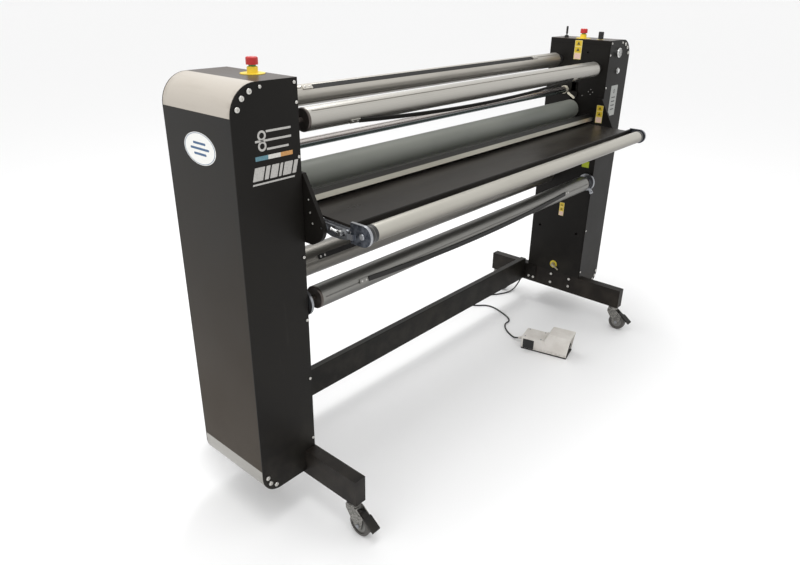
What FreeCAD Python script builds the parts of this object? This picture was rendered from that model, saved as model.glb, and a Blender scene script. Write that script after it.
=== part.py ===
import FreeCAD, Part
import math
import os

# Wide-format cold roll laminator. X runs along the rolls (right positive seen
# from the operator), -Y is the operator's side, Z is up. The origin is on the
# floor, midway between the cabinets. All sizes are in millimetres.

os.makedirs("parts", exist_ok=True)
V = FreeCAD.Vector

# overall machine
ROLL_SPAN = 1700.0           # between the inner faces of the two cabinets
CABINET_WIDTH = 200.0
CABINET_DEPTH = 282.0
CABINET_FOOT_Z = 128.0
CABINET_TOP_Z = 1284.0
TOP_RADIUS = 75.0            # rounded outer top corner
FOOT_RADIUS = 60.0           # rounded outer bottom corner
FOOT_LIP = 26.0              # straight lip of the foot trim
PLATE = 3.0                  # front, rear and base sheet
INNER_PLATE = 8.0            # load-carrying inner side plate
SKIN = 2.0                   # outer side panel
FRONT_INSET = 2.5            # front plate starts this far outside the inner face
TOP_FLANGE = 22.0            # inner flange of the top panel

# base
LEG_WIDTH = 40.0
LEG_HEIGHT = 88.0
LEG_FOOT_Z = 111.0
LEG_LENGTH = 706.0
TUBE_WALL = 3.0
BEAM_HEIGHT = 108.0
BEAM_DEPTH = 28.0
BEAM_FOOT_Z = 115.0
BEAM_GAP = 15.0              # behind the cabinets
FLANGE = 4.0
FLANGE_REACH = 66.0

# casters
CASTER_Y = 326.0
WHEEL_RADIUS = 37.5
WHEEL_WIDTH = 24.0
CASTER_TRAIL = 29.0
FORK_SHEET = 2.5
FORK_GAP = 1.0
STEM_RADIUS = 6.0
HEAD_RADIUS = 22.0

# fits
FREE = 0.4                   # between parts that never touch
RUN = 0.05                   # radial clearance of a running fit

# rolls: y, z and radius
MAIN_RADIUS = 41.0
MAIN_HALF = 832.0
MAIN_JOURNAL = 12.5
TOP_ROLL_Y = 0.0
TOP_ROLL_Z = 992.0
NIP = 0.3
LIFT = 35.0

SHAFT_HALF = 808.0
JOURNAL = 7.0
JOURNAL_IN = 17.0            # how far a journal reaches past the inner face
CAP = 16.0                   # plain turned length at each shaft end
FRONT_SHAFT = (-98.0, 1171.0, 31.0)
REAR_SHAFT = (88.0, 1195.0, 30.0)
LOW_REAR_SHAFT = (72.0, 694.0, 45.5)
TAKE_UP_SHAFT = (-116.0, 677.0, 33.5)
IDLER = (45.0, 1070.0, 14.0)
BUSH_RADIUS = 11.0
BUSH_FLANGE = 16.0
BUSH_FLANGE_THICK = 4.0
STRIP_WIDTH = 16.0
STRIP_DEPTH = 5.0
STRIP_THICK = 3.0
STRIP_START = 622.0          # left of the middle
STRIP_END = 582.0            # right of the middle
STRIP_BLOCK = 40.0           # clamping block beyond each end of a strip
STRIP_SAG = 21.0             # of a strip that hangs under its shaft
FINE_GROOVE = 4.0
FINE_DEPTH = 2.5

# feed table
TABLE_HALF = 820.0
TABLE_OUT = 155.0            # front edge, in front of the cabinets
TABLE_REAR_Y = -46.0
TABLE_FRONT_Z = 936.0
TABLE_REAR_Z = 944.0
TABLE_SHEET = 6.0
RIDGE_HEIGHT = 10.0
RIDGE_DEPTH = 9.0
FRONT_ROLLER_OUT = 191.0     # in front of the cabinets
FRONT_ROLLER_Z = 921.0
FRONT_ROLLER_RADIUS = 23.5
ROLLER_HALF = 820.0
ROLLER_PLUG = 26.0
END_BRACKET_RADIUS = 28.0
END_BRACKET_THICK = 9.0
ARM_THICK = 9.0
ARM_TOP_Z = 934.0
ARM_HEIGHT = 36.0
HINGE_OUT = 62.0             # table hinge, in front of the cabinets
HINGE_Z = 917.0
HINGE_RADIUS = 8.0
CLAMP_OUT = 121.0
CLAMP_Z = 917.0
SIDE_BRACKET = 12.0

# hold-down bar over the table
HOLD_Y = -93.0
HOLD_Z = 948.0
HOLD_HEIGHT = 32.0
HOLD_DEPTH = 30.0

# top controls
CONTROL_IN = 40.0            # top controls, outside the inner faces
ESTOP_LEFT_Y = -20.0
ESTOP_RIGHT_Y = 8.0
ESTOP_RADIUS = 13.5
ESTOP_BODY = 17.0
ESTOP_NECK = 11.0
ESTOP_TRAVEL = 4.0
ESTOP_CAP = 18.0
ESTOP_CAP_RADIUS = 15.0
ESTOP_DISC = 31.0
LEVER_Y = 88.0
LEVER_RADIUS = 4.5
LEVER_HEIGHT = 46.0
BOOT_RADIUS = 10.5
BOOT_HEIGHT = 9.0
KNOB_Y = -73.0
KNOB_RADIUS = 11.0
KNOB_HEIGHT = 29.0
KNOB_SHAFT = 4.0

# front controls on the right-hand cabinet
GAUGE_IN = 75.0
GAUGE_Z = 1234.0
GAUGE_RADIUS = 20.0
GAUGE_OUT = 12.0
BUTTON_IN = 91.0
BUTTON_Z = 1159.0
BUTTON_RADIUS = 12.0
BUTTON_OUT = 11.0
BUTTON_CAP = 9.0

REAR_IN = 105.0              # gland and mains inlet, outside the inner face

# foot switch
PEDAL_X = 394.0
PEDAL_Y = -118.0
PEDAL_TURN = 13.0
PEDAL_WIDTH = 94.0
PEDAL_LENGTH = 208.0
PEDAL_BOX = 100.0
PEDAL_BOX_HEIGHT = 60.0
PEDAL_HOOD_HEIGHT = 98.0
PEDAL_SHEET = 3.0
PEDAL_SOLE = 6.0
RELIEF_ACROSS = 62.0
RELIEF_Z = 26.0
RELIEF_DROP = 0.42
CORD_RADIUS = 3.5

# derived positions
XI = ROLL_SPAN / 2.0
XO = XI + CABINET_WIDTH
YF = -CABINET_DEPTH / 2.0
YR = CABINET_DEPTH / 2.0
XA = XO - TOP_RADIUS
ZA = CABINET_TOP_Z - TOP_RADIUS
XB = XO - FOOT_RADIUS
ZB = CABINET_FOOT_Z + FOOT_RADIUS
LEG_TOP_Z = LEG_FOOT_Z + LEG_HEIGHT
INNER_TOP_Z = CABINET_TOP_Z - TOP_FLANGE
LOW_ROLL_Z = TOP_ROLL_Z - 2.0 * MAIN_RADIUS - NIP
BEAM_FRONT_Y = YR + BEAM_GAP
TABLE_FRONT_Y = YF - TABLE_OUT
FRONT_ROLLER = (YF - FRONT_ROLLER_OUT, FRONT_ROLLER_Z, FRONT_ROLLER_RADIUS)
HINGE_Y = YF - HINGE_OUT
CLAMP_Y = YF - CLAMP_OUT
ESTOP_X = XI + CONTROL_IN
LEVER_X = XI + CONTROL_IN
KNOB_X = XI + CONTROL_IN
GAUGE_X = XI + GAUGE_IN
BUTTON_X = XI + BUTTON_IN


def box(x0, x1, y0, y1, z0, z1):
    return Part.makeBox(x1 - x0, y1 - y0, z1 - z0, V(x0, y0, z0))


def rod_x(x0, x1, y, z, r):
    return Part.makeCylinder(r, x1 - x0, V(x0, y, z), V(1, 0, 0))


def rod_y(x, y0, y1, z, r):
    return Part.makeCylinder(r, y1 - y0, V(x, y0, z), V(0, 1, 0))


def rod_z(x, y, z0, z1, r):
    return Part.makeCylinder(r, z1 - z0, V(x, y, z0), V(0, 0, 1))


def mirrored(shape):
    return shape.mirror(V(0, 0, 0), V(1, 0, 0))


def both(shape):
    return Part.makeCompound([mirrored(shape), shape])


def fused(shapes):
    body = shapes[0]
    for s in shapes[1:]:
        body = body.fuse(s)
    return body.removeSplitter()


def cut_all(body, tools):
    for t in tools:
        body = body.cut(t)
    return body


def prism_x(points, x0, x1):
    wire = Part.makePolygon([V(x0, y, z) for y, z in points + points[:1]])
    return Part.Face(wire).extrude(V(x1 - x0, 0, 0))


def save(shape, name):
    shape.exportStep("parts/" + name + ".step")


# cabinets: the outline shared by the front and rear sheets of the right side
def cabinet_sheet(y0, y1):
    x0 = XI + FRONT_INSET
    s = math.sqrt(0.5)
    edges = [
        Part.LineSegment(V(x0, y0, LEG_TOP_Z + FREE), V(x0, y0, CABINET_TOP_Z)),
        Part.LineSegment(V(x0, y0, CABINET_TOP_Z), V(XA, y0, CABINET_TOP_Z)),
        Part.Arc(
            V(XA, y0, CABINET_TOP_Z),
            V(XA + TOP_RADIUS * s, y0, ZA + TOP_RADIUS * s),
            V(XO, y0, ZA),
        ),
        Part.LineSegment(V(XO, y0, ZA), V(XO, y0, ZB)),
        Part.Arc(
            V(XO, y0, ZB),
            V(XB + FOOT_RADIUS * s, y0, ZB - FOOT_RADIUS * s),
            V(XB, y0, CABINET_FOOT_Z),
        ),
        Part.LineSegment(V(XB, y0, CABINET_FOOT_Z), V(XI + LEG_WIDTH + FREE, y0, CABINET_FOOT_Z)),
        Part.LineSegment(
            V(XI + LEG_WIDTH + FREE, y0, CABINET_FOOT_Z),
            V(XI + LEG_WIDTH + FREE, y0, LEG_TOP_Z + FREE),
        ),
        Part.LineSegment(V(XI + LEG_WIDTH + FREE, y0, LEG_TOP_Z + FREE), V(x0, y0, LEG_TOP_Z + FREE)),
    ]
    wire = Part.Wire([e.toShape() for e in edges])
    return Part.Face(wire).extrude(V(0, y1 - y0, 0))


BUSHED = [FRONT_SHAFT, REAR_SHAFT, LOW_REAR_SHAFT, IDLER]
SLOT_HALF = MAIN_JOURNAL + 3.5
SLOT_FOOT_Z = TOP_ROLL_Z - MAIN_JOURNAL - 4.0
LUG_Z = 1046.0
LUG_HEIGHT = 20.0
SLOT_TOP_Z = LUG_Z + LUG_HEIGHT + LIFT + 4.0
GUIDE_HALF = 30.0
GUIDE_REACH = 22.0
GUIDE_THICK = 9.0
RAIL_FOOT_Z = SLOT_FOOT_Z - 22.0
YI = YF + PLATE
YJ = YR - PLATE
AIR_Y = 0.0
AIR_Z = 236.0
AIR_RADIUS = 7.0
NIPPLE_RADIUS = 4.0
GLAND_X = XI + REAR_IN
GLAND_Z = 164.0
GLAND_RADIUS = 8.0
SOCKET_X = XI + REAR_IN
SOCKET_Z = 226.0

# screws: head radius, head height, shank radius
LARGE_SCREW = (7.0, 4.0, 4.0)
SMALL_SCREW = (4.3, 2.6, 2.0)
BRACKET_SCREW = (2.7, 1.6, 1.6)
SCREW_REACH = 8.0
TOP_SCREW_RING = 59.0
FOOT_SCREW_RING = 44.0
large_screws = []
for a in (18.4, 45.0, 70.3):
    c, s = math.cos(math.radians(a)), math.sin(math.radians(a))
    large_screws.append((XA + TOP_SCREW_RING * c, ZA + TOP_SCREW_RING * s))
for a in (3.0, 35.0, 68.0):
    c, s = math.cos(math.radians(a)), math.sin(math.radians(a))
    large_screws.append((XB + FOOT_SCREW_RING * c, ZB - FOOT_SCREW_RING * s))
small_screws = [(XA - 11.0, CABINET_TOP_Z - 12.0), (XI + 12.5, CABINET_TOP_Z - 11.0)]
for z in (1226.0, 1093.0, 822.0, 633.0, 442.0, 231.0):
    small_screws.append((XI + 8.5, z))


def screw_y(x, z, kind):
    head, height, shank = kind
    dome = rod_y(x, YF - height, YF, z, head)
    dome = dome.makeFillet(height * 0.55, [e for e in dome.Edges if e.BoundBox.YMax < YF - height + 0.01])
    body = dome.fuse(rod_y(x, YF, YF + SCREW_REACH, z, shank))
    socket = Part.makeCylinder(head * 0.42, height * 0.5, V(x, YF - height, z), V(0, 1, 0))
    return body.cut(socket)


def screw_holes():
    tools = []
    for x, z in large_screws:
        tools.append(rod_y(x, YF - 1, YF + SCREW_REACH + 0.5, z, LARGE_SCREW[2] + RUN))
    for x, z in small_screws:
        tools.append(rod_y(x, YF - 1, YF + SCREW_REACH + 0.5, z, SMALL_SCREW[2] + RUN))
    return tools


def frame_right():
    inner = box(XI, XI + INNER_PLATE, YI, YJ, LEG_TOP_Z, INNER_TOP_Z)
    rear = cabinet_sheet(YJ, YR)
    base = box(XI + LEG_WIDTH + FREE, XB, YI, YJ, CABINET_FOOT_Z, CABINET_FOOT_Z + PLATE)
    x1 = XI + INNER_PLATE + GUIDE_REACH
    g0 = GUIDE_HALF + FREE
    rail_a = box(XI + INNER_PLATE, x1, g0, g0 + GUIDE_THICK, RAIL_FOOT_Z, SLOT_TOP_Z + 8)
    rail_b = box(XI + INNER_PLATE, x1, -g0 - GUIDE_THICK, -g0, RAIL_FOOT_Z, SLOT_TOP_Z + 8)
    body = fused([inner, rear, base, rail_a, rail_b])
    tools = [rod_x(XI - 1, XI + INNER_PLATE + 1, s[0], s[1], BUSH_RADIUS + RUN) for s in BUSHED]
    tools.append(rod_x(XI - 1, XI + INNER_PLATE + 1, TOP_ROLL_Y, LOW_ROLL_Z, MAIN_JOURNAL + RUN))
    tools.append(box(XI - 1, XI + INNER_PLATE + 1, -SLOT_HALF, SLOT_HALF, SLOT_FOOT_Z, SLOT_TOP_Z))
    for y, z, r in ((97.0, 419.0, 6.0), (-98.0, 419.0, 6.0), (-42.0, 1232.0, 4.0)):
        tools.append(rod_x(XI - 1, XI + INNER_PLATE + 1, y, z, r))
    tools.append(rod_x(XI - 1, XI + INNER_PLATE + 1, HOLD_Y, HOLD_Z + HOLD_HEIGHT / 2, 5.0 + RUN))
    for x, z in small_screws:
        tools.append(rod_y(x, YF - 1, YF + SCREW_REACH + 0.5, z, SMALL_SCREW[2] + RUN))
    return cut_all(body, tools)


right_frame = frame_right()
left_frame = mirrored(right_frame)
right_frame = right_frame.cut(
    rod_x(XI - 1, XI + INNER_PLATE + 1, AIR_Y, AIR_Z, AIR_RADIUS + RUN)
)
right_frame = right_frame.cut(rod_y(GLAND_X, YJ - 1, YR + 1, GLAND_Z, GLAND_RADIUS - 2.0 + RUN))
right_frame = right_frame.cut(
    box(SOCKET_X - 15.1, SOCKET_X + 15.1, YJ - 1, YR + 1, SOCKET_Z - 11.1, SOCKET_Z + 11.1)
)
save(Part.makeCompound([left_frame, right_frame]), "cabinet_frames")

# front plates: laser-cut sheet, the right one carries the gauge and a button
front = cut_all(cabinet_sheet(YF, YI), screw_holes())
front_right = front.cut(rod_y(GAUGE_X, YF - 1, YI + 1, GAUGE_Z, GAUGE_RADIUS - 3.0 + RUN))
front_right = front_right.cut(rod_y(BUTTON_X, YF - 1, YI + 1, BUTTON_Z, BUTTON_RADIUS - 2.0 + RUN))
save(Part.makeCompound([mirrored(front), front_right]), "front_plates")

# outer side panels, corner trims and foot trims between front and rear sheets
save(both(box(XO - SKIN, XO, YI, YJ, ZB + FOOT_LIP, ZA)), "side_panels")


def quarter_ring(cx, cz, r, wall, a0):
    ring = rod_y(cx, YI, YJ, cz, r).cut(rod_y(cx, YI, YJ, cz, r - wall))
    up = a0 > 0
    z0 = cz if up else cz - r - 1
    z1 = cz + r + 1 if up else cz
    return ring.common(box(cx, cx + r + 1, YI, YJ, z0, z1))


save(both(quarter_ring(XA, ZA, TOP_RADIUS, PLATE, 1)), "corner_trims")
lip = box(XO - PLATE, XO, YI, YJ, ZB, ZB + FOOT_LIP)
foot = fused([quarter_ring(XB, ZB, FOOT_RADIUS, PLATE, -1), lip])
save(both(foot), "foot_trims")

# top panels with a folded inner flange
top = box(XI + FRONT_INSET, XA, YI, YJ, CABINET_TOP_Z - 2.5, CABINET_TOP_Z)
top = fused([top, box(XI + FRONT_INSET, XI + FRONT_INSET + 2.5, YI, YJ, INNER_TOP_Z, CABINET_TOP_Z)])
top = top.cut(rod_y(small_screws[1][0], YI - 1, YI + SCREW_REACH, small_screws[1][1], SMALL_SCREW[2] + RUN))


def panel_hole(x, y, r):
    return rod_z(x, y, CABINET_TOP_Z - 5, CABINET_TOP_Z + 1, r)


top_left = mirrored(top.cut(panel_hole(ESTOP_X, ESTOP_LEFT_Y, ESTOP_NECK + RUN)))
top_right = top.cut(panel_hole(ESTOP_X, ESTOP_RIGHT_Y, ESTOP_NECK + RUN))
top_right = top_right.cut(panel_hole(LEVER_X, LEVER_Y, BOOT_RADIUS - 3.0 + RUN))
top_right = top_right.cut(panel_hole(KNOB_X, KNOB_Y, KNOB_SHAFT + RUN))
save(Part.makeCompound([top_left, top_right]), "top_panels")

# legs: closed rectangular tubes, a hole under each caster
leg = box(XI, XI + LEG_WIDTH, -LEG_LENGTH / 2, LEG_LENGTH / 2, LEG_FOOT_Z, LEG_TOP_Z)
leg = leg.cut(
    box(
        XI + TUBE_WALL,
        XI + LEG_WIDTH - TUBE_WALL,
        -LEG_LENGTH / 2 + TUBE_WALL,
        LEG_LENGTH / 2 - TUBE_WALL,
        LEG_FOOT_Z + TUBE_WALL,
        LEG_TOP_Z - TUBE_WALL,
    )
)
LEG_MID = XI + LEG_WIDTH / 2
for y in (-CASTER_Y, CASTER_Y):
    leg = leg.cut(rod_z(LEG_MID, y, LEG_FOOT_Z - 1, LEG_FOOT_Z + TUBE_WALL + 1, STEM_RADIUS + RUN))
LEG_BOLTS = [(BEAM_FRONT_Y - 28.0, 138.0), (BEAM_FRONT_Y - 54.0, 138.0)]
LEG_BOLTS += [(6.0, 182.0), (6.0, 138.0), (-92.0, 182.0), (-92.0, 144.0)]
BOLT = (6.5, 4.0, 4.0)
for y, z in LEG_BOLTS:
    leg = leg.cut(rod_x(XI - 1, XI + TUBE_WALL + 1, y, z, BOLT[2] + RUN))
save(both(leg), "legs")

# cross beam with a bolting flange at each end
BEAM_REAR_Y = BEAM_FRONT_Y + BEAM_DEPTH
beam = box(-XI + FLANGE, XI - FLANGE, BEAM_FRONT_Y, BEAM_REAR_Y, BEAM_FOOT_Z, BEAM_FOOT_Z + BEAM_HEIGHT)
beam = beam.makeFillet(3.0, [e for e in beam.Edges if e.BoundBox.XLength > 100])
beam = beam.cut(
    box(
        -XI + FLANGE,
        XI - FLANGE,
        BEAM_FRONT_Y + TUBE_WALL,
        BEAM_REAR_Y - TUBE_WALL,
        BEAM_FOOT_Z + TUBE_WALL,
        BEAM_FOOT_Z + BEAM_HEIGHT - TUBE_WALL,
    )
)
ends = box(XI - FLANGE, XI, BEAM_FRONT_Y - FLANGE_REACH, BEAM_REAR_Y, BEAM_FOOT_Z, LEG_TOP_Z - 2.0)
tip = box(XI - FLANGE, XI, BEAM_FRONT_Y, BEAM_REAR_Y, BEAM_FOOT_Z, BEAM_FOOT_Z + BEAM_HEIGHT)
ends = fused([ends, tip])
for y, z in LEG_BOLTS[:2]:
    ends = ends.cut(rod_x(XI - FLANGE - 1, XI + 1, y, z, BOLT[2] + RUN))
save(fused([beam, ends, mirrored(ends)]), "cross_beam")


# fasteners: button heads on the front plates, bolts on the legs and brackets
def bolt_x(x, y, z, toward, reach, kind):
    head, height, shank = kind
    d = V(toward, 0, 0)
    knob = Part.makeCylinder(head, height, V(x, y, z), d)
    rims = [e for e in knob.Edges if e.BoundBox.XLength < 0.01]
    rims = [e for e in rims if abs(e.BoundBox.Center.x - x - toward * height) < 0.01]
    knob = knob.makeFillet(height * 0.5, rims)
    shaft = Part.makeCylinder(shank, reach, V(x, y, z), V(-toward, 0, 0))
    hexagon = Part.makeCylinder(head * 0.42, height * 0.5, V(x + toward * height, y, z), V(-toward, 0, 0))
    return knob.fuse(shaft).cut(hexagon)


SIDE_SCREWS = [(YF - 19.0, 984.0), (YF - 23.0, 950.0), (YF - 31.0, 922.0)]
screws = [screw_y(x, z, LARGE_SCREW) for x, z in large_screws]
screws += [screw_y(x, z, SMALL_SCREW) for x, z in small_screws]
for y, z in LEG_BOLTS[:2]:
    screws.append(bolt_x(XI - FLANGE, y, z, -1, FLANGE + TUBE_WALL, BOLT))
for y, z in LEG_BOLTS[2:]:
    screws.append(bolt_x(XI, y, z, -1, TUBE_WALL, BOLT))
for y, z in SIDE_SCREWS:
    screws.append(bolt_x(XI, y, z, 1, SIDE_BRACKET - 3.0, BRACKET_SCREW))
save(Part.makeCompound([mirrored(s) for s in screws] + screws), "case_screws")

# side brackets that carry the feed table, bolted to the inner plates
nose = [
    Part.LineSegment(V(0, YF + 29, 862), V(0, YF + 29, 1049)),
    Part.LineSegment(V(0, YF + 29, 1049), V(0, YF, 1049)),
    Part.LineSegment(V(0, YF, 1049), V(0, YF - 64, 936)),
    Part.Arc(V(0, YF - 64, 936), V(0, YF - 71, 905), V(0, YF - 45, 872)),
    Part.LineSegment(V(0, YF - 45, 872), V(0, YF - 27, 862)),
    Part.LineSegment(V(0, YF - 27, 862), V(0, YF + 29, 862)),
]
side = Part.Face(Part.Wire([e.toShape() for e in nose])).extrude(V(SIDE_BRACKET, 0, 0))
side.translate(V(XI - SIDE_BRACKET, 0, 0))
side = side.cut(rod_x(XI - SIDE_BRACKET - 1, XI + 1, HINGE_Y, HINGE_Z, HINGE_RADIUS / 2 + RUN))
for y, z in SIDE_SCREWS:
    side = side.cut(rod_x(XI - SIDE_BRACKET + 2.9, XI + 1, y, z, BRACKET_SCREW[2] + RUN))
save(both(side), "table_side_brackets")

# hold-down bar: aluminium profile with a bright slanting face, pinned at both ends
h0, h1 = HOLD_Y - HOLD_DEPTH / 2, HOLD_Y + HOLD_DEPTH / 2
z0, z1 = HOLD_Z, HOLD_Z + HOLD_HEIGHT
profile = [(h0 + 5, z0), (h0, z0 + 6), (h0 + 4, z0 + 21), (h0 + 15, z1)]
profile += [(h1 - 4, z1), (h1, z1 - 4), (h1, z0 + 3), (h1 - 3, z0)]
bar = prism_x(profile, -XI + 4, XI - 4)
pin_z = HOLD_Z + HOLD_HEIGHT / 2
bar = fused([bar, rod_x(-XI - 6, XI + 6, HOLD_Y, pin_z, 5.0)])
save(bar, "hold_down_bar")

# flanged bushes in the inner plates
bushes = []
for y, z, r in BUSHED:
    b = rod_x(XI, XI + INNER_PLATE, y, z, BUSH_RADIUS)
    b = b.fuse(rod_x(XI - BUSH_FLANGE_THICK, XI, y, z, BUSH_FLANGE))
    b = b.removeSplitter()
    bushes.append(b.cut(rod_x(XI - 20, XI + 20, y, z, JOURNAL + RUN)))
save(Part.makeCompound([mirrored(b) for b in bushes] + bushes), "shaft_bushes")

# hubs of the take-up shaft, screwed to the inner plates
ty, tz = TAKE_UP_SHAFT[:2]
HUB_BOSS = 12.0
hub = rod_x(XI - 9, XI, ty, tz, 39.0)
hub = hub.makeFillet(2.5, [e for e in hub.Edges if e.BoundBox.XMax < XI - 8.9])
hub = hub.fuse(rod_x(XI - 16.5, XI - 9, ty, tz, HUB_BOSS)).removeSplitter()
hub = hub.cut(rod_x(XI - 17, XI + 1, ty, tz, JOURNAL + RUN))
save(both(hub), "take_up_hubs")


# core shafts: aluminium profile with lengthwise grooves, plain turned ends and journals
def shaft_groove(y, z, r, x0, x1, width, depth, turn):
    tool = box(x0, x1, y - r - 1, y - r + depth, z - width / 2, z + width / 2)
    tool.rotate(V(0, y, z), V(1, 0, 0), turn)
    return tool


def shaft(y, z, r, turn, reach, hangs):
    body = rod_x(-SHAFT_HALF, SHAFT_HALF, y, z, r)
    body = body.makeChamfer(2.0, [e for e in body.Edges if e.BoundBox.XLength < 0.01])
    body = fused([body, rod_x(-XI - reach, XI + reach, y, z, JOURNAL)])
    x0, x1 = -SHAFT_HALF + CAP, SHAFT_HALF - CAP
    s0, s1 = -STRIP_START - STRIP_BLOCK, STRIP_END + STRIP_BLOCK
    seated = [180] if hangs else [0, 180]
    for quarter in (0, 90, 180, 270):
        at = turn + quarter
        if quarter in seated:
            tools = [
                shaft_groove(y, z, r, -STRIP_START, STRIP_END, STRIP_WIDTH, STRIP_DEPTH, at),
                shaft_groove(y, z, r, x0, s0, FINE_GROOVE, FINE_DEPTH, at),
                shaft_groove(y, z, r, s1, x1, FINE_GROOVE, FINE_DEPTH, at),
            ]
        else:
            tools = [shaft_groove(y, z, r, x0, x1, FINE_GROOVE, FINE_DEPTH, at)]
        body = cut_all(body, tools)
    return body


def seated_strip(y, z, r, turn):
    g = FREE / 4
    x0, x1 = -STRIP_START + g, STRIP_END - g
    half = STRIP_WIDTH / 2 - g
    strip = box(x0, x1, y - r + FREE, y - r + STRIP_DEPTH - g, z - half, z + half)
    strip.rotate(V(0, y, z), V(1, 0, 0), turn)
    return strip


# a strip on the underside is slack: it hangs in a long arc outside the shaft
def hanging_strip(y, z, r, turn):
    lean = math.radians(max(turn, 0))
    off = r + FREE + STRIP_THICK / 2
    middle = (STRIP_END - STRIP_START) / 2
    half = (STRIP_START + STRIP_END) / 2
    bend = (half ** 2 + STRIP_SAG ** 2) / (2 * STRIP_SAG)
    centre = V(middle, y - off * math.cos(lean), z - off * math.sin(math.radians(turn)) - STRIP_SAG)
    along = V(0, -math.sin(lean), math.cos(lean)) * (STRIP_WIDTH / 2)
    through = V(0, math.cos(lean), math.sin(lean)) * (STRIP_THICK / 2)
    corners = [centre + along + through, centre + along - through]
    corners += [centre - along - through, centre - along + through]
    face = Part.Face(Part.makePolygon(corners + corners[:1]))
    sweep = math.degrees(math.asin(half / bend))
    pivot = V(middle, 0, centre.z + bend)
    face.rotate(pivot, V(0, 1, 0), -sweep)
    return face.revolve(pivot, V(0, 1, 0), 2 * sweep)


SHAFTS = [
    ("front_supply", FRONT_SHAFT, 42.0, True),
    ("rear_supply", REAR_SHAFT, -52.0, False),
    ("lower_rear", LOW_REAR_SHAFT, -25.0, False),
    ("take_up", TAKE_UP_SHAFT, -14.0, True),
]
for name, (y, z, r), turn, hangs in SHAFTS:
    save(shaft(y, z, r, turn, JOURNAL_IN if name != "take_up" else -0.5, hangs), name + "_shaft")
    first = hanging_strip(y, z, r, turn) if hangs else seated_strip(y, z, r, turn)
    save(Part.makeCompound([first, seated_strip(y, z, r, turn + 180)]), name + "_strips")

# idler bar
y, z, r = IDLER
idler_pin = rod_x(-XI - INNER_PLATE, XI + INNER_PLATE, y, z, JOURNAL)
save(fused([rod_x(-XI + 10, XI - 10, y, z, r), idler_pin]), "idler_bar")


# main rolls: steel core with journals, moulded silicone cover
def main_roll(y, z, reach_left, reach_right):
    body = rod_x(-MAIN_HALF, MAIN_HALF, y, z, MAIN_RADIUS)
    body = body.makeFillet(4.0, [e for e in body.Edges if e.BoundBox.XLength < 0.01])
    return fused([body, rod_x(-XI - reach_left, XI + reach_right, y, z, MAIN_JOURNAL)])


save(main_roll(TOP_ROLL_Y, TOP_ROLL_Z, 42.0, 42.0), "top_roll")
save(main_roll(TOP_ROLL_Y, LOW_ROLL_Z, 20.0, 70.0), "lower_roll")

# carriers of the top roll with piston rods; each slides between two rails
CARRIER_X0 = XI + INNER_PLATE + FREE
CARRIER_X1 = XI + INNER_PLATE + 32.0
CARRIER_FOOT_Z = TOP_ROLL_Z - 32.0
CARRIER_TOP_Z = LUG_Z + LUG_HEIGHT
ROD_RADIUS = 8.0
ROD_TOP_Z = CARRIER_TOP_Z + 95.0
CYL_FOOT_Z = CARRIER_TOP_Z + LIFT + 24.0
CYL_TOP_Z = CYL_FOOT_Z + 88.0
carrier = box(CARRIER_X0, CARRIER_X1, -GUIDE_HALF, GUIDE_HALF, CARRIER_FOOT_Z, CARRIER_TOP_Z)
tongue = box(XI - 3.0, CARRIER_X0, -SLOT_HALF + 3.0, SLOT_HALF - 3.0, LUG_Z, CARRIER_TOP_Z)
lug = box(XI - 12.0, XI - 1.0, -20.0, 28.0, LUG_Z, CARRIER_TOP_Z)
mid_x = (CARRIER_X0 + CARRIER_X1) / 2
piston = rod_z(mid_x, 0, CARRIER_TOP_Z, ROD_TOP_Z, ROD_RADIUS)
carrier = fused([carrier, tongue, lug, piston])
carrier = carrier.cut(rod_x(CARRIER_X0 - 1, CARRIER_X1 + 1, TOP_ROLL_Y, TOP_ROLL_Z, MAIN_JOURNAL + RUN))
save(both(carrier), "roll_carriers")
cyl = rod_z(mid_x, 0, CYL_FOOT_Z, CYL_TOP_Z, 15.5)
foot_block = box(XI + INNER_PLATE, CARRIER_X1, -22.0, 22.0, CYL_FOOT_Z, CYL_FOOT_Z + 14.0)
cyl = fused([cyl, foot_block])
cyl = cyl.cut(rod_z(mid_x, 0, CYL_FOOT_Z - 1, CYL_TOP_Z - 8.0, ROD_RADIUS + RUN))
save(both(cyl), "lift_cylinders")

# gear motor on the right: hollow-shaft gearbox on the lower roll, motor hanging below
gx0, gx1 = XI + INNER_PLATE + 2.0, XI + INNER_PLATE + 62.0
gear = box(gx0, gx1, -40.0, 40.0, LOW_ROLL_Z - 42.0, LOW_ROLL_Z + 38.0)
gear = gear.makeFillet(6.0, gear.Edges)
motor = rod_z((gx0 + gx1) / 2, 0, LOW_ROLL_Z - 205.0, LOW_ROLL_Z - 40.0, 29.0)
bracket = box(XI + INNER_PLATE, gx0 + 4, -36.0, 36.0, LOW_ROLL_Z - 36.0, LOW_ROLL_Z + 32.0)
gear = fused([gear, motor, bracket])
gear = gear.cut(rod_x(XI + 1, gx1 + 1, 0, LOW_ROLL_Z, MAIN_JOURNAL + RUN))
save(gear, "gear_motor")

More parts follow.
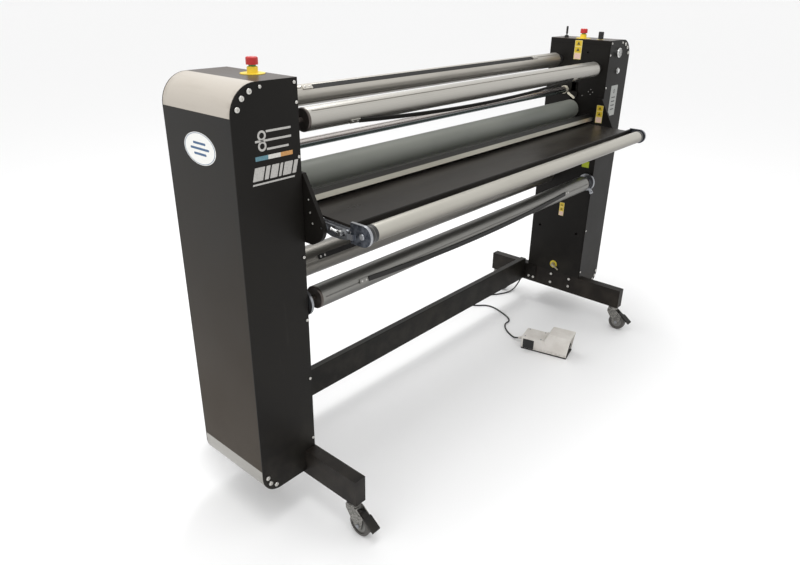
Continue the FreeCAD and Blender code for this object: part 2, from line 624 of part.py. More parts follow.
# feed table: sheet with a raised front edge, folded down at the front
t = TABLE_SHEET
table_profile = [
    (TABLE_FRONT_Y, TABLE_FRONT_Z - 16),
    (TABLE_FRONT_Y, TABLE_FRONT_Z + RIDGE_HEIGHT - 2),
    (TABLE_FRONT_Y + 2, TABLE_FRONT_Z + RIDGE_HEIGHT),
    (TABLE_FRONT_Y + RIDGE_DEPTH - 3, TABLE_FRONT_Z + RIDGE_HEIGHT),
    (TABLE_FRONT_Y + RIDGE_DEPTH, TABLE_FRONT_Z + RIDGE_HEIGHT - 5),
    (TABLE_FRONT_Y + RIDGE_DEPTH + 3, TABLE_FRONT_Z + 0.5),
    (TABLE_REAR_Y, TABLE_REAR_Z),
    (TABLE_REAR_Y, TABLE_REAR_Z - 3),
    (TABLE_REAR_Y - 8, TABLE_REAR_Z - t),
    (TABLE_FRONT_Y + RIDGE_DEPTH, TABLE_FRONT_Z - t),
    (TABLE_FRONT_Y + RIDGE_DEPTH, TABLE_FRONT_Z - 16),
]
table = prism_x(table_profile, -TABLE_HALF, TABLE_HALF)
save(table, "feed_table")



def table_under(y):
    y0, y1 = TABLE_FRONT_Y + RIDGE_DEPTH, TABLE_REAR_Y - 8
    return TABLE_FRONT_Z - t + (TABLE_REAR_Z - TABLE_FRONT_Z) * (y - y0) / (y1 - y0)


# arms under the table edge, hinged to the side brackets by a pin each
AX1 = XI - SIDE_BRACKET - 2.0
AX0 = AX1 - ARM_THICK
a0, a1 = TABLE_FRONT_Y + RIDGE_DEPTH + 1, HINGE_Y + 18.0
arm_z0 = ARM_TOP_Z - ARM_HEIGHT
outline = [(a0, arm_z0 + 4), (a0, ARM_TOP_Z - 8), (a0 + 6, ARM_TOP_Z - 6), (a1, ARM_TOP_Z - 4)]
outline += [(a1, arm_z0 + 10), (HINGE_Y - 22, arm_z0), (a0 + 30, arm_z0)]
arm = prism_x(outline, AX0, AX1)
ledge = prism_x(
    [(a0, ARM_TOP_Z - 12), (a0, table_under(a0)), (a1, table_under(a1)), (a1, ARM_TOP_Z - 10)],
    TABLE_HALF - 30,
    AX0 + 1,
)
hinge = rod_x(AX0, XI - 2.0, HINGE_Y, HINGE_Z, HINGE_RADIUS / 2)
collar = rod_x(AX1 - 1, AX1 + 1.6, HINGE_Y, HINGE_Z, HINGE_RADIUS + 2)
w0, w1 = CLAMP_Y - 14.0, CLAMP_Y + 24.0
opening = [(w0, arm_z0 + 12), (w0, ARM_TOP_Z - 14), (w1, ARM_TOP_Z - 12), (w1, arm_z0 + 9)]
window = prism_x(opening, AX0 - 1, AX1 + 1)
arm = fused([arm.cut(window), hinge, collar])
spine = rod_x(AX0, AX1, CLAMP_Y, CLAMP_Z, 9.0)
arm = fused([arm, spine, box(AX0, AX1, CLAMP_Y - 4, CLAMP_Y + 4, arm_z0 + 2, ARM_TOP_Z - 8), ledge])
arm = arm.cut(rod_x(AX0 - 1, AX1 + 1, CLAMP_Y, CLAMP_Z, 4.0 + RUN))
save(both(arm), "table_arms")


# clamping levers on the outside of the arms
def clamp_lever():
    shank = rod_x(AX0 + 1, AX1 + 3, CLAMP_Y, CLAMP_Z, 4.0)
    hub_c = rod_x(AX1 + FREE, AX1 + 10, CLAMP_Y, CLAMP_Z, 8.0)
    grip = Part.makeCylinder(3.4, 26.0, V(AX1 + 6.5, CLAMP_Y, CLAMP_Z), V(0.1, 0.95, 0.25))
    ball = Part.makeSphere(4.6, V(AX1 + 6.5, CLAMP_Y, CLAMP_Z) + V(0.1, 0.95, 0.25) * 26.5)
    return fused([shank, hub_c, grip, ball])


lever_r = clamp_lever()
save(mirrored(lever_r), "clamp_lever_left")
save(lever_r, "clamp_lever_right")

# end brackets of the front roller: flat behind, round in front, one large screw each
ry, rz, rr = FRONT_ROLLER
EX0 = ROLLER_HALF + FREE
EX1 = EX0 + END_BRACKET_THICK
plate = rod_x(EX0, EX1, ry, rz, END_BRACKET_RADIUS)
plate = plate.fuse(box(EX0, EX1, ry, a0 - 4.0, rz - END_BRACKET_RADIUS, rz + END_BRACKET_RADIUS))
plate = plate.removeSplitter()
plate = plate.fuse(box(EX0, AX1 - 1, TABLE_FRONT_Y - 6, a0, arm_z0 + 6, TABLE_FRONT_Z - 17.0))
plate = plate.removeSplitter()
head = rod_x(EX1, EX1 + 5.0, ry, rz, 8.5)
head = head.makeFillet(2.0, [e for e in head.Edges if e.BoundBox.XMin > EX1 + 4.9])
axle = rod_x(ROLLER_HALF - 22, EX1, ry, rz, 6.0)
save(both(fused([plate, head, axle])), "roller_end_brackets")

# front roller: thin tube closed by a plug at each end, the plugs run on the axles
roller = rod_x(-ROLLER_HALF, ROLLER_HALF, ry, rz, rr)
roller = roller.makeFillet(2.0, [e for e in roller.Edges if e.BoundBox.XLength < 0.01])
hollow = rod_x(-ROLLER_HALF + ROLLER_PLUG, ROLLER_HALF - ROLLER_PLUG, ry, rz, rr - 3.0)
roller = roller.cut(hollow)
roller = roller.cut(rod_x(ROLLER_HALF - 23, ROLLER_HALF + 1, ry, rz, 6.0 + RUN))
roller = roller.cut(rod_x(-ROLLER_HALF - 1, -ROLLER_HALF + 23, ry, rz, 6.0 + RUN))
save(roller, "front_roller")

# tension lever on the right hub of the take-up shaft
LEVER_OUT = V(0, -math.sin(math.radians(42)), -math.cos(math.radians(42)))
tension = rod_x(XI - 16, XI - 9 - FREE, ty, tz, 22.0)
arm_len = 56.0
bar_t = box(XI - 15, XI - 10, ty - 6, ty + 6, tz - arm_len, tz)
bar_t.rotate(V(0, ty, tz), V(1, 0, 0), -42)
end_p = V(XI - 15, ty, tz) + LEVER_OUT * (arm_len - 2)
pin_t = Part.makeCylinder(5.0, 16.0, V(XI - 24, end_p.y, end_p.z), V(1, 0, 0))
tension = fused([tension, bar_t, pin_t])
tension = tension.cut(rod_x(XI - 20, XI, ty, tz, HUB_BOSS + RUN))
save(tension, "tension_lever")

# emergency stops: yellow bodies with a flat disc, mushroom caps that push in
ZT = CABINET_TOP_Z


def estop_body(x, y):
    disc = rod_z(x, y, ZT, ZT + 1.5, ESTOP_DISC)
    body = rod_z(x, y, ZT, ZT + ESTOP_BODY, ESTOP_RADIUS)
    body = body.makeChamfer(1.5, [e for e in body.Edges if e.BoundBox.ZMin > ZT + ESTOP_BODY - 0.1])
    neck = rod_z(x, y, ZT - 34.0, ZT, ESTOP_NECK)
    block = box(x - 14, x + 14, y - 14, y + 14, ZT - 60.0, ZT - 32.0)
    body = fused([disc, body, neck, block])
    return body.cut(rod_z(x, y, ZT - 8.0, ZT + ESTOP_BODY + 1, ESTOP_NECK - 2.0 + FREE))


stops = [estop_body(-ESTOP_X, ESTOP_LEFT_Y), estop_body(ESTOP_X, ESTOP_RIGHT_Y)]
save(Part.makeCompound(stops), "estop_bodies")


def estop_cap(x, y):
    z0 = ZT + ESTOP_BODY + ESTOP_TRAVEL + FREE
    cap = rod_z(x, y, z0, z0 + ESTOP_CAP, ESTOP_CAP_RADIUS)
    cap = cap.makeFillet(3.5, [e for e in cap.Edges if e.BoundBox.ZMin > z0 + ESTOP_CAP - 0.1])
    neck = rod_z(x, y, ZT + FREE, z0, ESTOP_NECK - 2.0)
    return fused([cap, neck])


save(estop_cap(-ESTOP_X, ESTOP_LEFT_Y), "estop_cap_left")
save(estop_cap(ESTOP_X, ESTOP_RIGHT_Y), "estop_cap_right")

# roll lift lever with its boot, pressure knob
boot = Part.makeCone(BOOT_RADIUS, BOOT_RADIUS - 3.0, BOOT_HEIGHT, V(LEVER_X, LEVER_Y, ZT), V(0, 0, 1))
boot = boot.fuse(rod_z(LEVER_X, LEVER_Y, ZT - 26.0, ZT, BOOT_RADIUS - 3.0)).removeSplitter()
boot = boot.cut(rod_z(LEVER_X, LEVER_Y, ZT - 20.0, ZT + BOOT_HEIGHT + 1, BOOT_RADIUS - 4.2))
save(boot, "lever_boot")
stick = rod_z(LEVER_X, LEVER_Y, ZT - 12.0, ZT + LEVER_HEIGHT - 8, LEVER_RADIUS - 1.6)
grip = rod_z(LEVER_X, LEVER_Y, ZT + BOOT_HEIGHT + 6, ZT + LEVER_HEIGHT, LEVER_RADIUS)
grip = grip.makeFillet(2.0, [e for e in grip.Edges if e.BoundBox.ZLength < 0.01])
save(fused([stick, grip]), "lift_lever")
knob = rod_z(KNOB_X, KNOB_Y, ZT + 2.0, ZT + 2.0 + KNOB_HEIGHT, KNOB_RADIUS)
knob = knob.makeChamfer(1.5, [e for e in knob.Edges if e.BoundBox.ZMin > ZT + KNOB_HEIGHT])
for i in range(18):
    a = math.radians(i * 20)
    flute = rod_z(KNOB_X + 11.9 * math.cos(a), KNOB_Y + 11.9 * math.sin(a), ZT + 8, ZT + 40, 1.5)
    knob = knob.cut(flute)
knob = fused([knob, rod_z(KNOB_X, KNOB_Y, ZT - 22.0, ZT + 3.0, KNOB_SHAFT)])
save(knob, "pressure_knob")

# gauge and push button on the right front plate
bezel = rod_y(GAUGE_X, YF - GAUGE_OUT, YF, GAUGE_Z, GAUGE_RADIUS)
bezel = bezel.makeFillet(3.0, [e for e in bezel.Edges if e.BoundBox.YMax < YF - GAUGE_OUT + 0.1])
bezel = bezel.cut(rod_y(GAUGE_X, YF - GAUGE_OUT - 1, YF - GAUGE_OUT + 3.0, GAUGE_Z, GAUGE_RADIUS - 4.0))
gauge = fused([bezel, rod_y(GAUGE_X, YF, YF + 34.0, GAUGE_Z, GAUGE_RADIUS - 3.0)])
save(gauge, "pressure_gauge")
ring = rod_y(BUTTON_X, YF - BUTTON_OUT + 5.0, YF, BUTTON_Z, BUTTON_RADIUS)
ring = ring.fuse(rod_y(BUTTON_X, YF, YF + 30.0, BUTTON_Z, BUTTON_RADIUS - 2.0)).removeSplitter()
ring = ring.cut(rod_y(BUTTON_X, YF - 20, YF + 20, BUTTON_Z, BUTTON_CAP + FREE))
save(ring, "button_housing")
press = rod_y(BUTTON_X, YF - BUTTON_OUT, YF + 8.0, BUTTON_Z, BUTTON_CAP)
press = press.makeFillet(1.5, [e for e in press.Edges if e.BoundBox.YMax < YF - BUTTON_OUT + 0.1])
save(press, "push_button")

# air inlet on the right inner plate: elbow with a plug-in nipple pointing forward and down
elbow = rod_x(XI - 15.0, XI + INNER_PLATE + 6.0, AIR_Y, AIR_Z, AIR_RADIUS)
elbow = elbow.fuse(rod_x(XI - 3.0, XI, AIR_Y, AIR_Z, AIR_RADIUS + 3.0))
way = V(0, -math.cos(math.radians(32)), -math.sin(math.radians(32)))
at = V(XI - 9.0, AIR_Y, AIR_Z)
elbow = elbow.fuse(Part.makeCylinder(6.0, 14.0, at, way))
elbow = elbow.fuse(Part.makeCylinder(NIPPLE_RADIUS, 36.0, at, way))
elbow = elbow.cut(Part.makeCylinder(2.5, 30.0, at + way * 10.0, way))
save(elbow.removeSplitter(), "air_inlet")


# casters: pressed fork with swivel head and stem, wheel on its axle, brake pedal
def caster(x, y):
    wy = y - CASTER_TRAIL
    half = WHEEL_WIDTH / 2 + FORK_GAP
    crown = LEG_FOOT_Z - 16.0
    cheeks = []
    for s in (0, 1):
        x0 = x + half if s else x - half - FORK_SHEET
        pts = [
            (wy - 12, WHEEL_RADIUS - 10),
            (wy + 12, WHEEL_RADIUS - 10),
            (y + 20, crown - 14),
            (y + 20, crown),
            (y - 20, crown),
            (wy - 20, crown - 22),
        ]
        cheeks.append(prism_x(pts, x0, x0 + FORK_SHEET))
    deck = box(x - half - FORK_SHEET, x + half + FORK_SHEET, y - 20, y + 20, crown - 3.0, crown)
    head_s = rod_z(x, y, crown, LEG_FOOT_Z - 2.0, HEAD_RADIUS - 2.0)
    cup = rod_z(x, y, crown + 3.0, LEG_FOOT_Z - 4.0, HEAD_RADIUS)
    stem = rod_z(x, y, LEG_FOOT_Z - 3.0, LEG_FOOT_Z + 30.0, STEM_RADIUS)
    axle_w = rod_x(x - half - FORK_SHEET - 3, x + half + FORK_SHEET + 3, wy, WHEEL_RADIUS, 5.0)
    fork = fused(cheeks + [deck, head_s, cup, stem, axle_w])
    fork = fork.cut(rod_x(x - 30, x + 30, wy - 4, 2 * WHEEL_RADIUS + 3.6, BRAKE_PIN + RUN))
    wheel = rod_x(x - WHEEL_WIDTH / 2, x + WHEEL_WIDTH / 2, wy, WHEEL_RADIUS, WHEEL_RADIUS)
    wheel = wheel.makeFillet(4.0, [e for e in wheel.Edges if e.BoundBox.XLength < 0.01])
    for s in (-1, 1):
        face = x + s * WHEEL_WIDTH / 2
        ring_w = rod_x(min(face, face - s * 3), max(face, face - s * 3), wy, WHEEL_RADIUS, WHEEL_RADIUS - 9)
        ring_w = ring_w.cut(rod_x(min(face, face - s * 3), max(face, face - s * 3), wy, WHEEL_RADIUS, 12.0))
        wheel = wheel.cut(ring_w)
    wheel = wheel.cut(rod_x(x - 30, x + 30, wy, WHEEL_RADIUS, 5.0 + RUN))
    return fork, wheel


BRAKE_PIN = 2.5


def brake(x, y):
    wy = y - CASTER_TRAIL
    top = 2 * WHEEL_RADIUS
    tread = prism_x(
        [
            (wy - 23, top + 1.5),
            (wy - 27, top + 1.0),
            (wy - 62, 50.0),
            (wy - 60, 44.0),
            (wy - 41, 57.5),
            (wy - 23, 72.5),
        ],
        x - 15.0,
        x + 15.0,
    )
    bridge = [(wy - 1, top + 1.0), (wy - 1, top + 6.5), (wy - 12, top + 6.0)]
    bridge += [(wy - 25, top + 0.5), (wy - 25, top - 1.5), (wy - 12, top + 1.5)]
    neck = prism_x(bridge, x - 11.0, x + 11.0)
    reach = WHEEL_WIDTH / 2 + FORK_GAP + FORK_SHEET
    pin = rod_x(x - reach, x + reach, wy - 4, top + 3.6, BRAKE_PIN)
    return fused([tread, neck, pin])


for tag, x, y in (
    ("front_left", -LEG_MID, -CASTER_Y),
    ("front_right", LEG_MID, -CASTER_Y),
    ("rear_left", -LEG_MID, CASTER_Y),
    ("rear_right", LEG_MID, CASTER_Y),
):
    fork, wheel = caster(x, y)
    save(fork, "caster_fork_" + tag)
    save(wheel, "caster_wheel_" + tag)
    if tag.startswith("front"):
        save(brake(x, y), "caster_brake_" + tag)


# foot switch, built along its own length and then turned into place
def placed(shape):
    shape.rotate(V(0, 0, 0), V(0, 0, 1), PEDAL_TURN)
    shape.translate(V(PEDAL_X, PEDAL_Y, 0))
    return shape


W, L = PEDAL_WIDTH, PEDAL_LENGTH
BH, HH = PEDAL_BOX_HEIGHT, PEDAL_HOOD_HEIGHT
base = box(0, W, -L, 0, 0, PEDAL_SOLE)
rear_box = box(0, W, -PEDAL_BOX, 0, PEDAL_SOLE, BH)
base = fused([base, rear_box])
base = base.makeFillet(
    7.0, [e for e in base.Edges if abs(e.BoundBox.YMax) < 0.01 and e.BoundBox.ZLength > 50]
)
rims = [e for e in base.Edges if e.BoundBox.ZMin > BH - 0.1 and e.BoundBox.YMax > 1 - PEDAL_BOX]
base = base.makeFillet(4.0, rims)
save(placed(base), "pedal_base")
slope = -PEDAL_BOX - 18.0
outer = Part.Face(
    Part.makePolygon(
        [
            V(0, -PEDAL_BOX - FREE, PEDAL_SOLE),
            V(0, -PEDAL_BOX - FREE, BH),
            V(0, slope, HH),
            V(0, -L - 10, HH),
            V(0, -L + 2, PEDAL_SOLE),
            V(0, -PEDAL_BOX - FREE, PEDAL_SOLE),
        ]
    )
).extrude(V(W, 0, 0))
HOOD_ROUND = 7.0


def hood_edge(b):
    long_side = b.YLength > 15 and b.ZMin > BH - 1 and b.XLength < 0.01
    ridge = b.XLength > 80 and b.ZMin > HH - 1 and b.YMin > -L
    return long_side or ridge


s = PEDAL_SHEET
inner_h = Part.Face(
    Part.makePolygon(
        [
            V(s, -PEDAL_BOX - FREE - s, PEDAL_SOLE - 1),
            V(s, -PEDAL_BOX - FREE - s, BH - s * 0.5),
            V(s, slope - s * 0.6, HH - s),
            V(s, -L - 30, HH - s),
            V(s, -L - 30, PEDAL_SOLE - 1),
            V(s, -PEDAL_BOX - FREE - s, PEDAL_SOLE - 1),
        ]
    )
).extrude(V(W - 2 * s, 0, 0))
outer = outer.makeFillet(HOOD_ROUND, [e for e in outer.Edges if hood_edge(e.BoundBox)])
save(placed(outer.cut(inner_h)), "pedal_hood")
TREAD_Y = -PEDAL_BOX - 14.0
tread = prism_x([(TREAD_Y, 20.0), (TREAD_Y, 26.0), (-L + 6, 40.0), (-L + 2, 34.0)], s + 6.0, W - s - 6.0)
tread = fused([tread, rod_x(s + FREE, W - s - FREE, TREAD_Y, 23.0, 4.5)])
save(placed(tread), "pedal_treadle")
relief = Part.makeCone(9.0, CORD_RADIUS + 1.2, 34.0, V(RELIEF_ACROSS, 0, RELIEF_Z), V(0, 1, -RELIEF_DROP))
relief = relief.fuse(rod_y(RELIEF_ACROSS, 0, 3.0, RELIEF_Z, 11.0))
relief = relief.cut(box(0, W, -20, 0, 0, 60))
relief_axis = V(0, 1, -RELIEF_DROP).normalize()
bore_start = V(RELIEF_ACROSS, 0, RELIEF_Z) + relief_axis * 26.0
relief = relief.cut(Part.makeCylinder(CORD_RADIUS + RUN, 20.0, bore_start, relief_axis))
save(placed(relief), "pedal_strain_relief")

# rear sheet of the right cabinet: gland of the foot-switch cord and the mains inlet
gland = rod_y(GLAND_X, YR, YR + 14.0, GLAND_Z, GLAND_RADIUS)
gland = gland.fuse(rod_y(GLAND_X, YJ - 8.0, YR, GLAND_Z, GLAND_RADIUS - 2.0)).removeSplitter()
gland = gland.cut(rod_y(GLAND_X, YR + 4.0, YR + 20.0, GLAND_Z, CORD_RADIUS + RUN))
inlet = box(SOCKET_X - 25, SOCKET_X + 25, YR, YR + 3.0, SOCKET_Z - 14, SOCKET_Z + 14)
inlet = inlet.makeFillet(4.0, [e for e in inlet.Edges if abs(e.BoundBox.YLength - 3.0) < 0.01])
well = box(SOCKET_X - 15, SOCKET_X + 15, YR - 22.0, YR, SOCKET_Z - 11, SOCKET_Z + 11)
mouth = box(SOCKET_X - 12.4, SOCKET_X + 12.4, YR - 18.0, YR + 4.0, SOCKET_Z - 8.4, SOCKET_Z + 8.4)
inlet = fused([inlet, well]).cut(mouth)
for across, rise in ((-7.0, -2.0), (7.0, -2.0), (0.0, 2.0)):
    px, pz = SOCKET_X + across, SOCKET_Z + rise
    inlet = inlet.fuse(box(px - 1, px + 1, YR - 18.5, YR - 3.0, pz - 2, pz + 2))
save(Part.makeCompound([gland, inlet.removeSplitter()]), "rear_inlets")

# foot-switch cord: straight runs joined by tangent arcs, lying on the floor
a = math.radians(PEDAL_TURN)
start = V(PEDAL_X + RELIEF_ACROSS * math.cos(a), PEDAL_Y + RELIEF_ACROSS * math.sin(a), RELIEF_Z)
back = V(-math.sin(a), math.cos(a), -RELIEF_DROP)
CORD_Z = CORD_RADIUS + 0.2
cord_points = [
    start + back * 24.2,
    start + back * 46.0,
    V(457, -30, CORD_Z),
    V(475, 2, CORD_Z),
    V(500, 33, CORD_Z),
    V(538, 58, CORD_Z),
    V(573, 54, CORD_Z),
    V(603, 82, CORD_Z),
    V(624, 130, CORD_Z),
    V(646, 190, CORD_Z),
    V(642, 238, CORD_Z),
    V(606, 268, CORD_Z),
    V(583, 306, CORD_Z),
    V(604, 346, CORD_Z),
    V(652, 358, CORD_Z),
    V(702, 336, CORD_Z),
    V(748, 300, CORD_Z),
    V(796, 264, CORD_Z),
    V(850, 240, CORD_Z),
    V(902, 238, CORD_Z + 4.0),
    V(942, 236, CORD_Z + 30.0),
    V(GLAND_X, 222, 84.0),
    V(GLAND_X, 204, 134.0),
    V(GLAND_X, YR + 34.0, GLAND_Z),
    V(GLAND_X, YR + 4.5, GLAND_Z),
]


def cord_wire(points):
    edges, radii = [], []
    last = points[0]
    for i in range(1, len(points) - 1):
        p, q, r = points[i - 1], points[i], points[i + 1]
        u, w = (p - q), (r - q)
        lu, lw = u.Length, w.Length
        u.normalize()
        w.normalize()
        turn = math.pi - u.getAngle(w)
        radius = 0.45 * min(lu, lw) / math.tan(turn / 2)
        radii.append(radius)
        cut = 0.45 * min(lu, lw)
        t0, t1 = q + u * cut, q + w * cut
        bis = u + w
        bis.normalize()
        mid = q + bis * (radius / math.cos(turn / 2) - radius)
        edges.append(Part.LineSegment(last, t0).toShape())
        edges.append(Part.Arc(t0, mid, t1).toShape())
        last = t1
    edges.append(Part.LineSegment(last, points[-1]).toShape())
    return Part.Wire(edges), radii


wire, radii = cord_wire(cord_points)
tangent = (cord_points[1] - cord_points[0]).normalize()
ring_c = Part.Wire([Part.Circle(cord_points[0], tangent, CORD_RADIUS).toShape()])
cord = wire.makePipeShell([ring_c], True, True)
tube_volume = math.pi * CORD_RADIUS ** 2 * wire.Length
print("cord: tightest bend", min(radii), "length", wire.Length, "volume ratio", cord.Volume / tube_volume)
save(cord, "pedal_cord")
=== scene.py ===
import math

import bmesh
import bpy
from mathutils import Matrix, Vector


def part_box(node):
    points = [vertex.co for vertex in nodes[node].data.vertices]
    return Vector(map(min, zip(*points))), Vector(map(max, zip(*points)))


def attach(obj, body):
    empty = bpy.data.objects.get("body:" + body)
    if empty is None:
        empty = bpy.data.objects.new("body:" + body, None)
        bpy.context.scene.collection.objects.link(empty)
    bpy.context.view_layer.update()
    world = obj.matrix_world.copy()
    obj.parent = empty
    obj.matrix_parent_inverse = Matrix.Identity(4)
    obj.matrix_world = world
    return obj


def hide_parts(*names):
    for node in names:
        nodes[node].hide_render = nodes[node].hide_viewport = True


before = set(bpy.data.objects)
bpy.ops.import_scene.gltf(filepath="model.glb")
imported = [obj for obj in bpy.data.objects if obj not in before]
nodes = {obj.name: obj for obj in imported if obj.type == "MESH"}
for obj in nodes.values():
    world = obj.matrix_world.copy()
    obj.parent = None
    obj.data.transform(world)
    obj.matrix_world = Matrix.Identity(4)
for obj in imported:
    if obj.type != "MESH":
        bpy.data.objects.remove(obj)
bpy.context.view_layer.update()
X, Z = Vector((1, 0, 0)), Vector((0, 0, 1))

# ------------------------------------------------------------------ camera
# Standing at the front left of the machine, a little above the top panels,
# looking slightly down along the rolls towards the right-hand cabinet.
LENS, SENSOR_WIDTH, FAR_END_OF_VIEW = 29.49, 36.0, 400.0
STANDPOINT = (-1.9085, -1.39495, 1.4896)
YAW, PITCH, ROLL = math.radians(48.977), math.radians(-24.529), math.radians(0.892)
forward = Vector((math.sin(YAW) * math.cos(PITCH), math.cos(YAW) * math.cos(PITCH), math.sin(PITCH)))
level = Vector((math.cos(YAW), -math.sin(YAW), 0))
upright = level.cross(forward)
right = level * math.cos(ROLL) + upright * math.sin(ROLL)
up = upright * math.cos(ROLL) - level * math.sin(ROLL)
camera = bpy.data.objects.new("camera", bpy.data.cameras.new("camera"))
camera.data.lens = LENS
camera.data.sensor_width = SENSOR_WIDTH
camera.data.clip_end = FAR_END_OF_VIEW
camera.matrix_world = Matrix((right, up, -forward)).transposed().to_4x4()
camera.location = STANDPOINT
bpy.context.scene.collection.objects.link(camera)
bpy.context.scene.camera = camera

# ------------------------------------------------------------------ foot-switch cord
# A 7 mm round cable with a black rubber sheath. It leaves the foot switch through its
# strain relief, wanders over the floor, passes behind the beam and the rear leg, and
# rises to a gland low on the back of the right-hand cabinet.


class Value:
    """A number, colour or vector in a material. Arithmetic on it adds Math nodes."""

    def __init__(self, tree, socket):
        self.tree = tree
        self.socket = socket

    def math(self, operation, *others):
        made = self.tree.nodes.new("ShaderNodeMath")
        made.operation = operation
        for place, value in enumerate((self, *others)):
            if isinstance(value, Value):
                self.tree.links.new(value.socket, made.inputs[place])
            else:
                made.inputs[place].default_value = value
        return Value(self.tree, made.outputs[0])

    def flipped(self, operation, other):
        made = self.tree.nodes.new("ShaderNodeMath")
        made.operation = operation
        made.inputs[0].default_value = other
        self.tree.links.new(self.socket, made.inputs[1])
        return Value(self.tree, made.outputs[0])

    def __add__(self, other):
        return self.math("ADD", other)

    __radd__ = __add__

    def __mul__(self, other):
        return self.math("MULTIPLY", other)

    __rmul__ = __mul__

    def __sub__(self, other):
        return self.math("SUBTRACT", other)

    def __rsub__(self, other):
        return self.flipped("SUBTRACT", other)

    def __truediv__(self, other):
        return self.math("DIVIDE", other)

    def __pow__(self, other):
        return self.math("POWER", other)

    def __abs__(self):
        return self.math("ABSOLUTE")

    def __lt__(self, other):
        return self.math("LESS_THAN", other)

    def __gt__(self, other):
        return self.math("GREATER_THAN", other)


def tone(red, green, blue):
    """A paint-chart colour, each part from 0 to 255, as the linear colour a shader takes."""
    parts = [c / 255 for c in (red, green, blue)]
    return [c / 12.92 if c <= 0.04045 else ((c + 0.055) / 1.055) ** 2.4 for c in parts] + [1.0]


def shaded(colour, share):
    """The same colour with only a share of its light."""
    return [c * share for c in tone(*colour)[:3]] + [1.0]


class Finish:
    """A surface finish: one Principled shader and the nodes that vary it."""

    def __init__(self, name, **fixed):
        self.material = bpy.data.materials.new(name)
        self.material.use_nodes = True
        self.tree = self.material.node_tree
        self.shader = self.tree.nodes["Principled BSDF"]
        for socket, value in fixed.items():
            self.shader.inputs[socket.replace("_", " ")].default_value = value
        self.place = self.node("ShaderNodeTexCoord", output="Object")

    def node(self, kind, settings=None, inputs=None, output=0):
        made = self.tree.nodes.new(kind)
        for name, value in (settings or {}).items():
            setattr(made, name, value)
        for name, value in (inputs or {}).items():
            if isinstance(value, Value):
                self.tree.links.new(value.socket, made.inputs[name])
            else:
                made.inputs[name].default_value = value
        return Value(self.tree, made.outputs[output])

    def axes(self, vector=None):
        made = self.tree.nodes.new("ShaderNodeSeparateXYZ")
        self.tree.links.new((vector or self.place).socket, made.inputs[0])
        return [Value(self.tree, out) for out in made.outputs]

    def stretched(self, x, y, z):
        return self.node("ShaderNodeMapping", inputs={"Vector": self.place, "Scale": (x, y, z)})

    def noise(self, scale, detail=3.0, vector=None):
        return self.node(
            "ShaderNodeTexNoise",
            inputs={"Vector": vector or self.place, "Scale": scale, "Detail": detail, "Roughness": 0.55},
        )

    def ease(self, value, low, high, start=0.0, end=1.0):
        return self.node(
            "ShaderNodeMapRange",
            {"interpolation_type": "SMOOTHSTEP"},
            {"Value": value, "From Min": low, "From Max": high, "To Min": start, "To Max": end},
        )

    def mix(self, mask, first, second):
        made = self.tree.nodes.new("ShaderNodeMix")
        made.data_type = "RGBA"
        for place, value in ((0, mask), (6, first), (7, second)):
            if isinstance(value, Value):
                self.tree.links.new(value.socket, made.inputs[place])
            else:
                made.inputs[place].default_value = value
        return Value(self.tree, made.outputs[2])

    def put(self, socket, value):
        self.tree.links.new(value.socket, self.shader.inputs[socket])

    def bump(self, height, strength, depth):
        self.put(
            "Normal",
            self.node("ShaderNodeBump", inputs={"Height": height, "Strength": strength, "Distance": depth}),
        )


def dress(finish, *names):
    for name in names:
        for place in nodes[name].material_slots:
            place.material = finish.material


CORD_RADIUS = 0.0035
CORD_REST = 0.0037
RELIEF_FALL = 0.42
PEDAL_TURN = math.radians(13)
PEDAL_CORNER = Vector((0.394, -0.118, 0))
RELIEF = Vector((0.062, 0, 0.026))


def on_pedal(x, y, z):
    """A point given along and across the foot switch, as it lies turned on the floor."""
    return Matrix.Rotation(PEDAL_TURN, 3, "Z") @ Vector((x, y, z)) + PEDAL_CORNER


GLAND = Vector((0.955, 0.141, 0.164))
route = [
    on_pedal(RELIEF.x, 0.0242, RELIEF.z - RELIEF_FALL * 0.0242),
    on_pedal(RELIEF.x, 0.046, RELIEF.z - RELIEF_FALL * 0.046),
    Vector((0.457, -0.030, CORD_REST)),
    Vector((0.475, 0.002, CORD_REST)),
    Vector((0.500, 0.033, CORD_REST)),
    Vector((0.538, 0.058, CORD_REST)),
    Vector((0.573, 0.054, CORD_REST)),
    Vector((0.603, 0.082, CORD_REST)),
    Vector((0.624, 0.130, CORD_REST)),
    Vector((0.646, 0.190, CORD_REST)),
    Vector((0.642, 0.238, CORD_REST)),
    Vector((0.606, 0.268, CORD_REST)),
    Vector((0.583, 0.306, CORD_REST)),
    Vector((0.604, 0.346, CORD_REST)),
    Vector((0.652, 0.358, CORD_REST)),
    Vector((0.702, 0.336, CORD_REST)),
    Vector((0.748, 0.300, CORD_REST)),
    Vector((0.796, 0.264, CORD_REST)),
    Vector((0.850, 0.240, CORD_REST)),
    Vector((0.902, 0.238, CORD_REST + 0.004)),
    Vector((0.942, 0.236, CORD_REST + 0.030)),
    Vector((GLAND.x, 0.222, 0.084)),
    Vector((GLAND.x, 0.204, 0.134)),
    Vector((GLAND.x, GLAND.y + 0.034, GLAND.z)),
    Vector((GLAND.x, GLAND.y + 0.0045, GLAND.z)),
]
curve = bpy.data.curves.new("foot_switch_cord", "CURVE")
curve.dimensions = "3D"
line = curve.splines.new("NURBS")
line.points.add(len(route) - 1)
for point, at in zip(line.points, route):
    point.co = (*at, 1)
line.order_u = 3
line.use_endpoint_u = True
line.resolution_u = 8
curve.bevel_depth = CORD_RADIUS
curve.bevel_resolution = 4
curve.use_fill_caps = True
cord = bpy.data.objects.new("foot_switch_cord", curve)
bpy.context.scene.collection.objects.link(cord)
sheath = Finish("rubber_sheath", Roughness=0.5)
grime = sheath.noise(60)
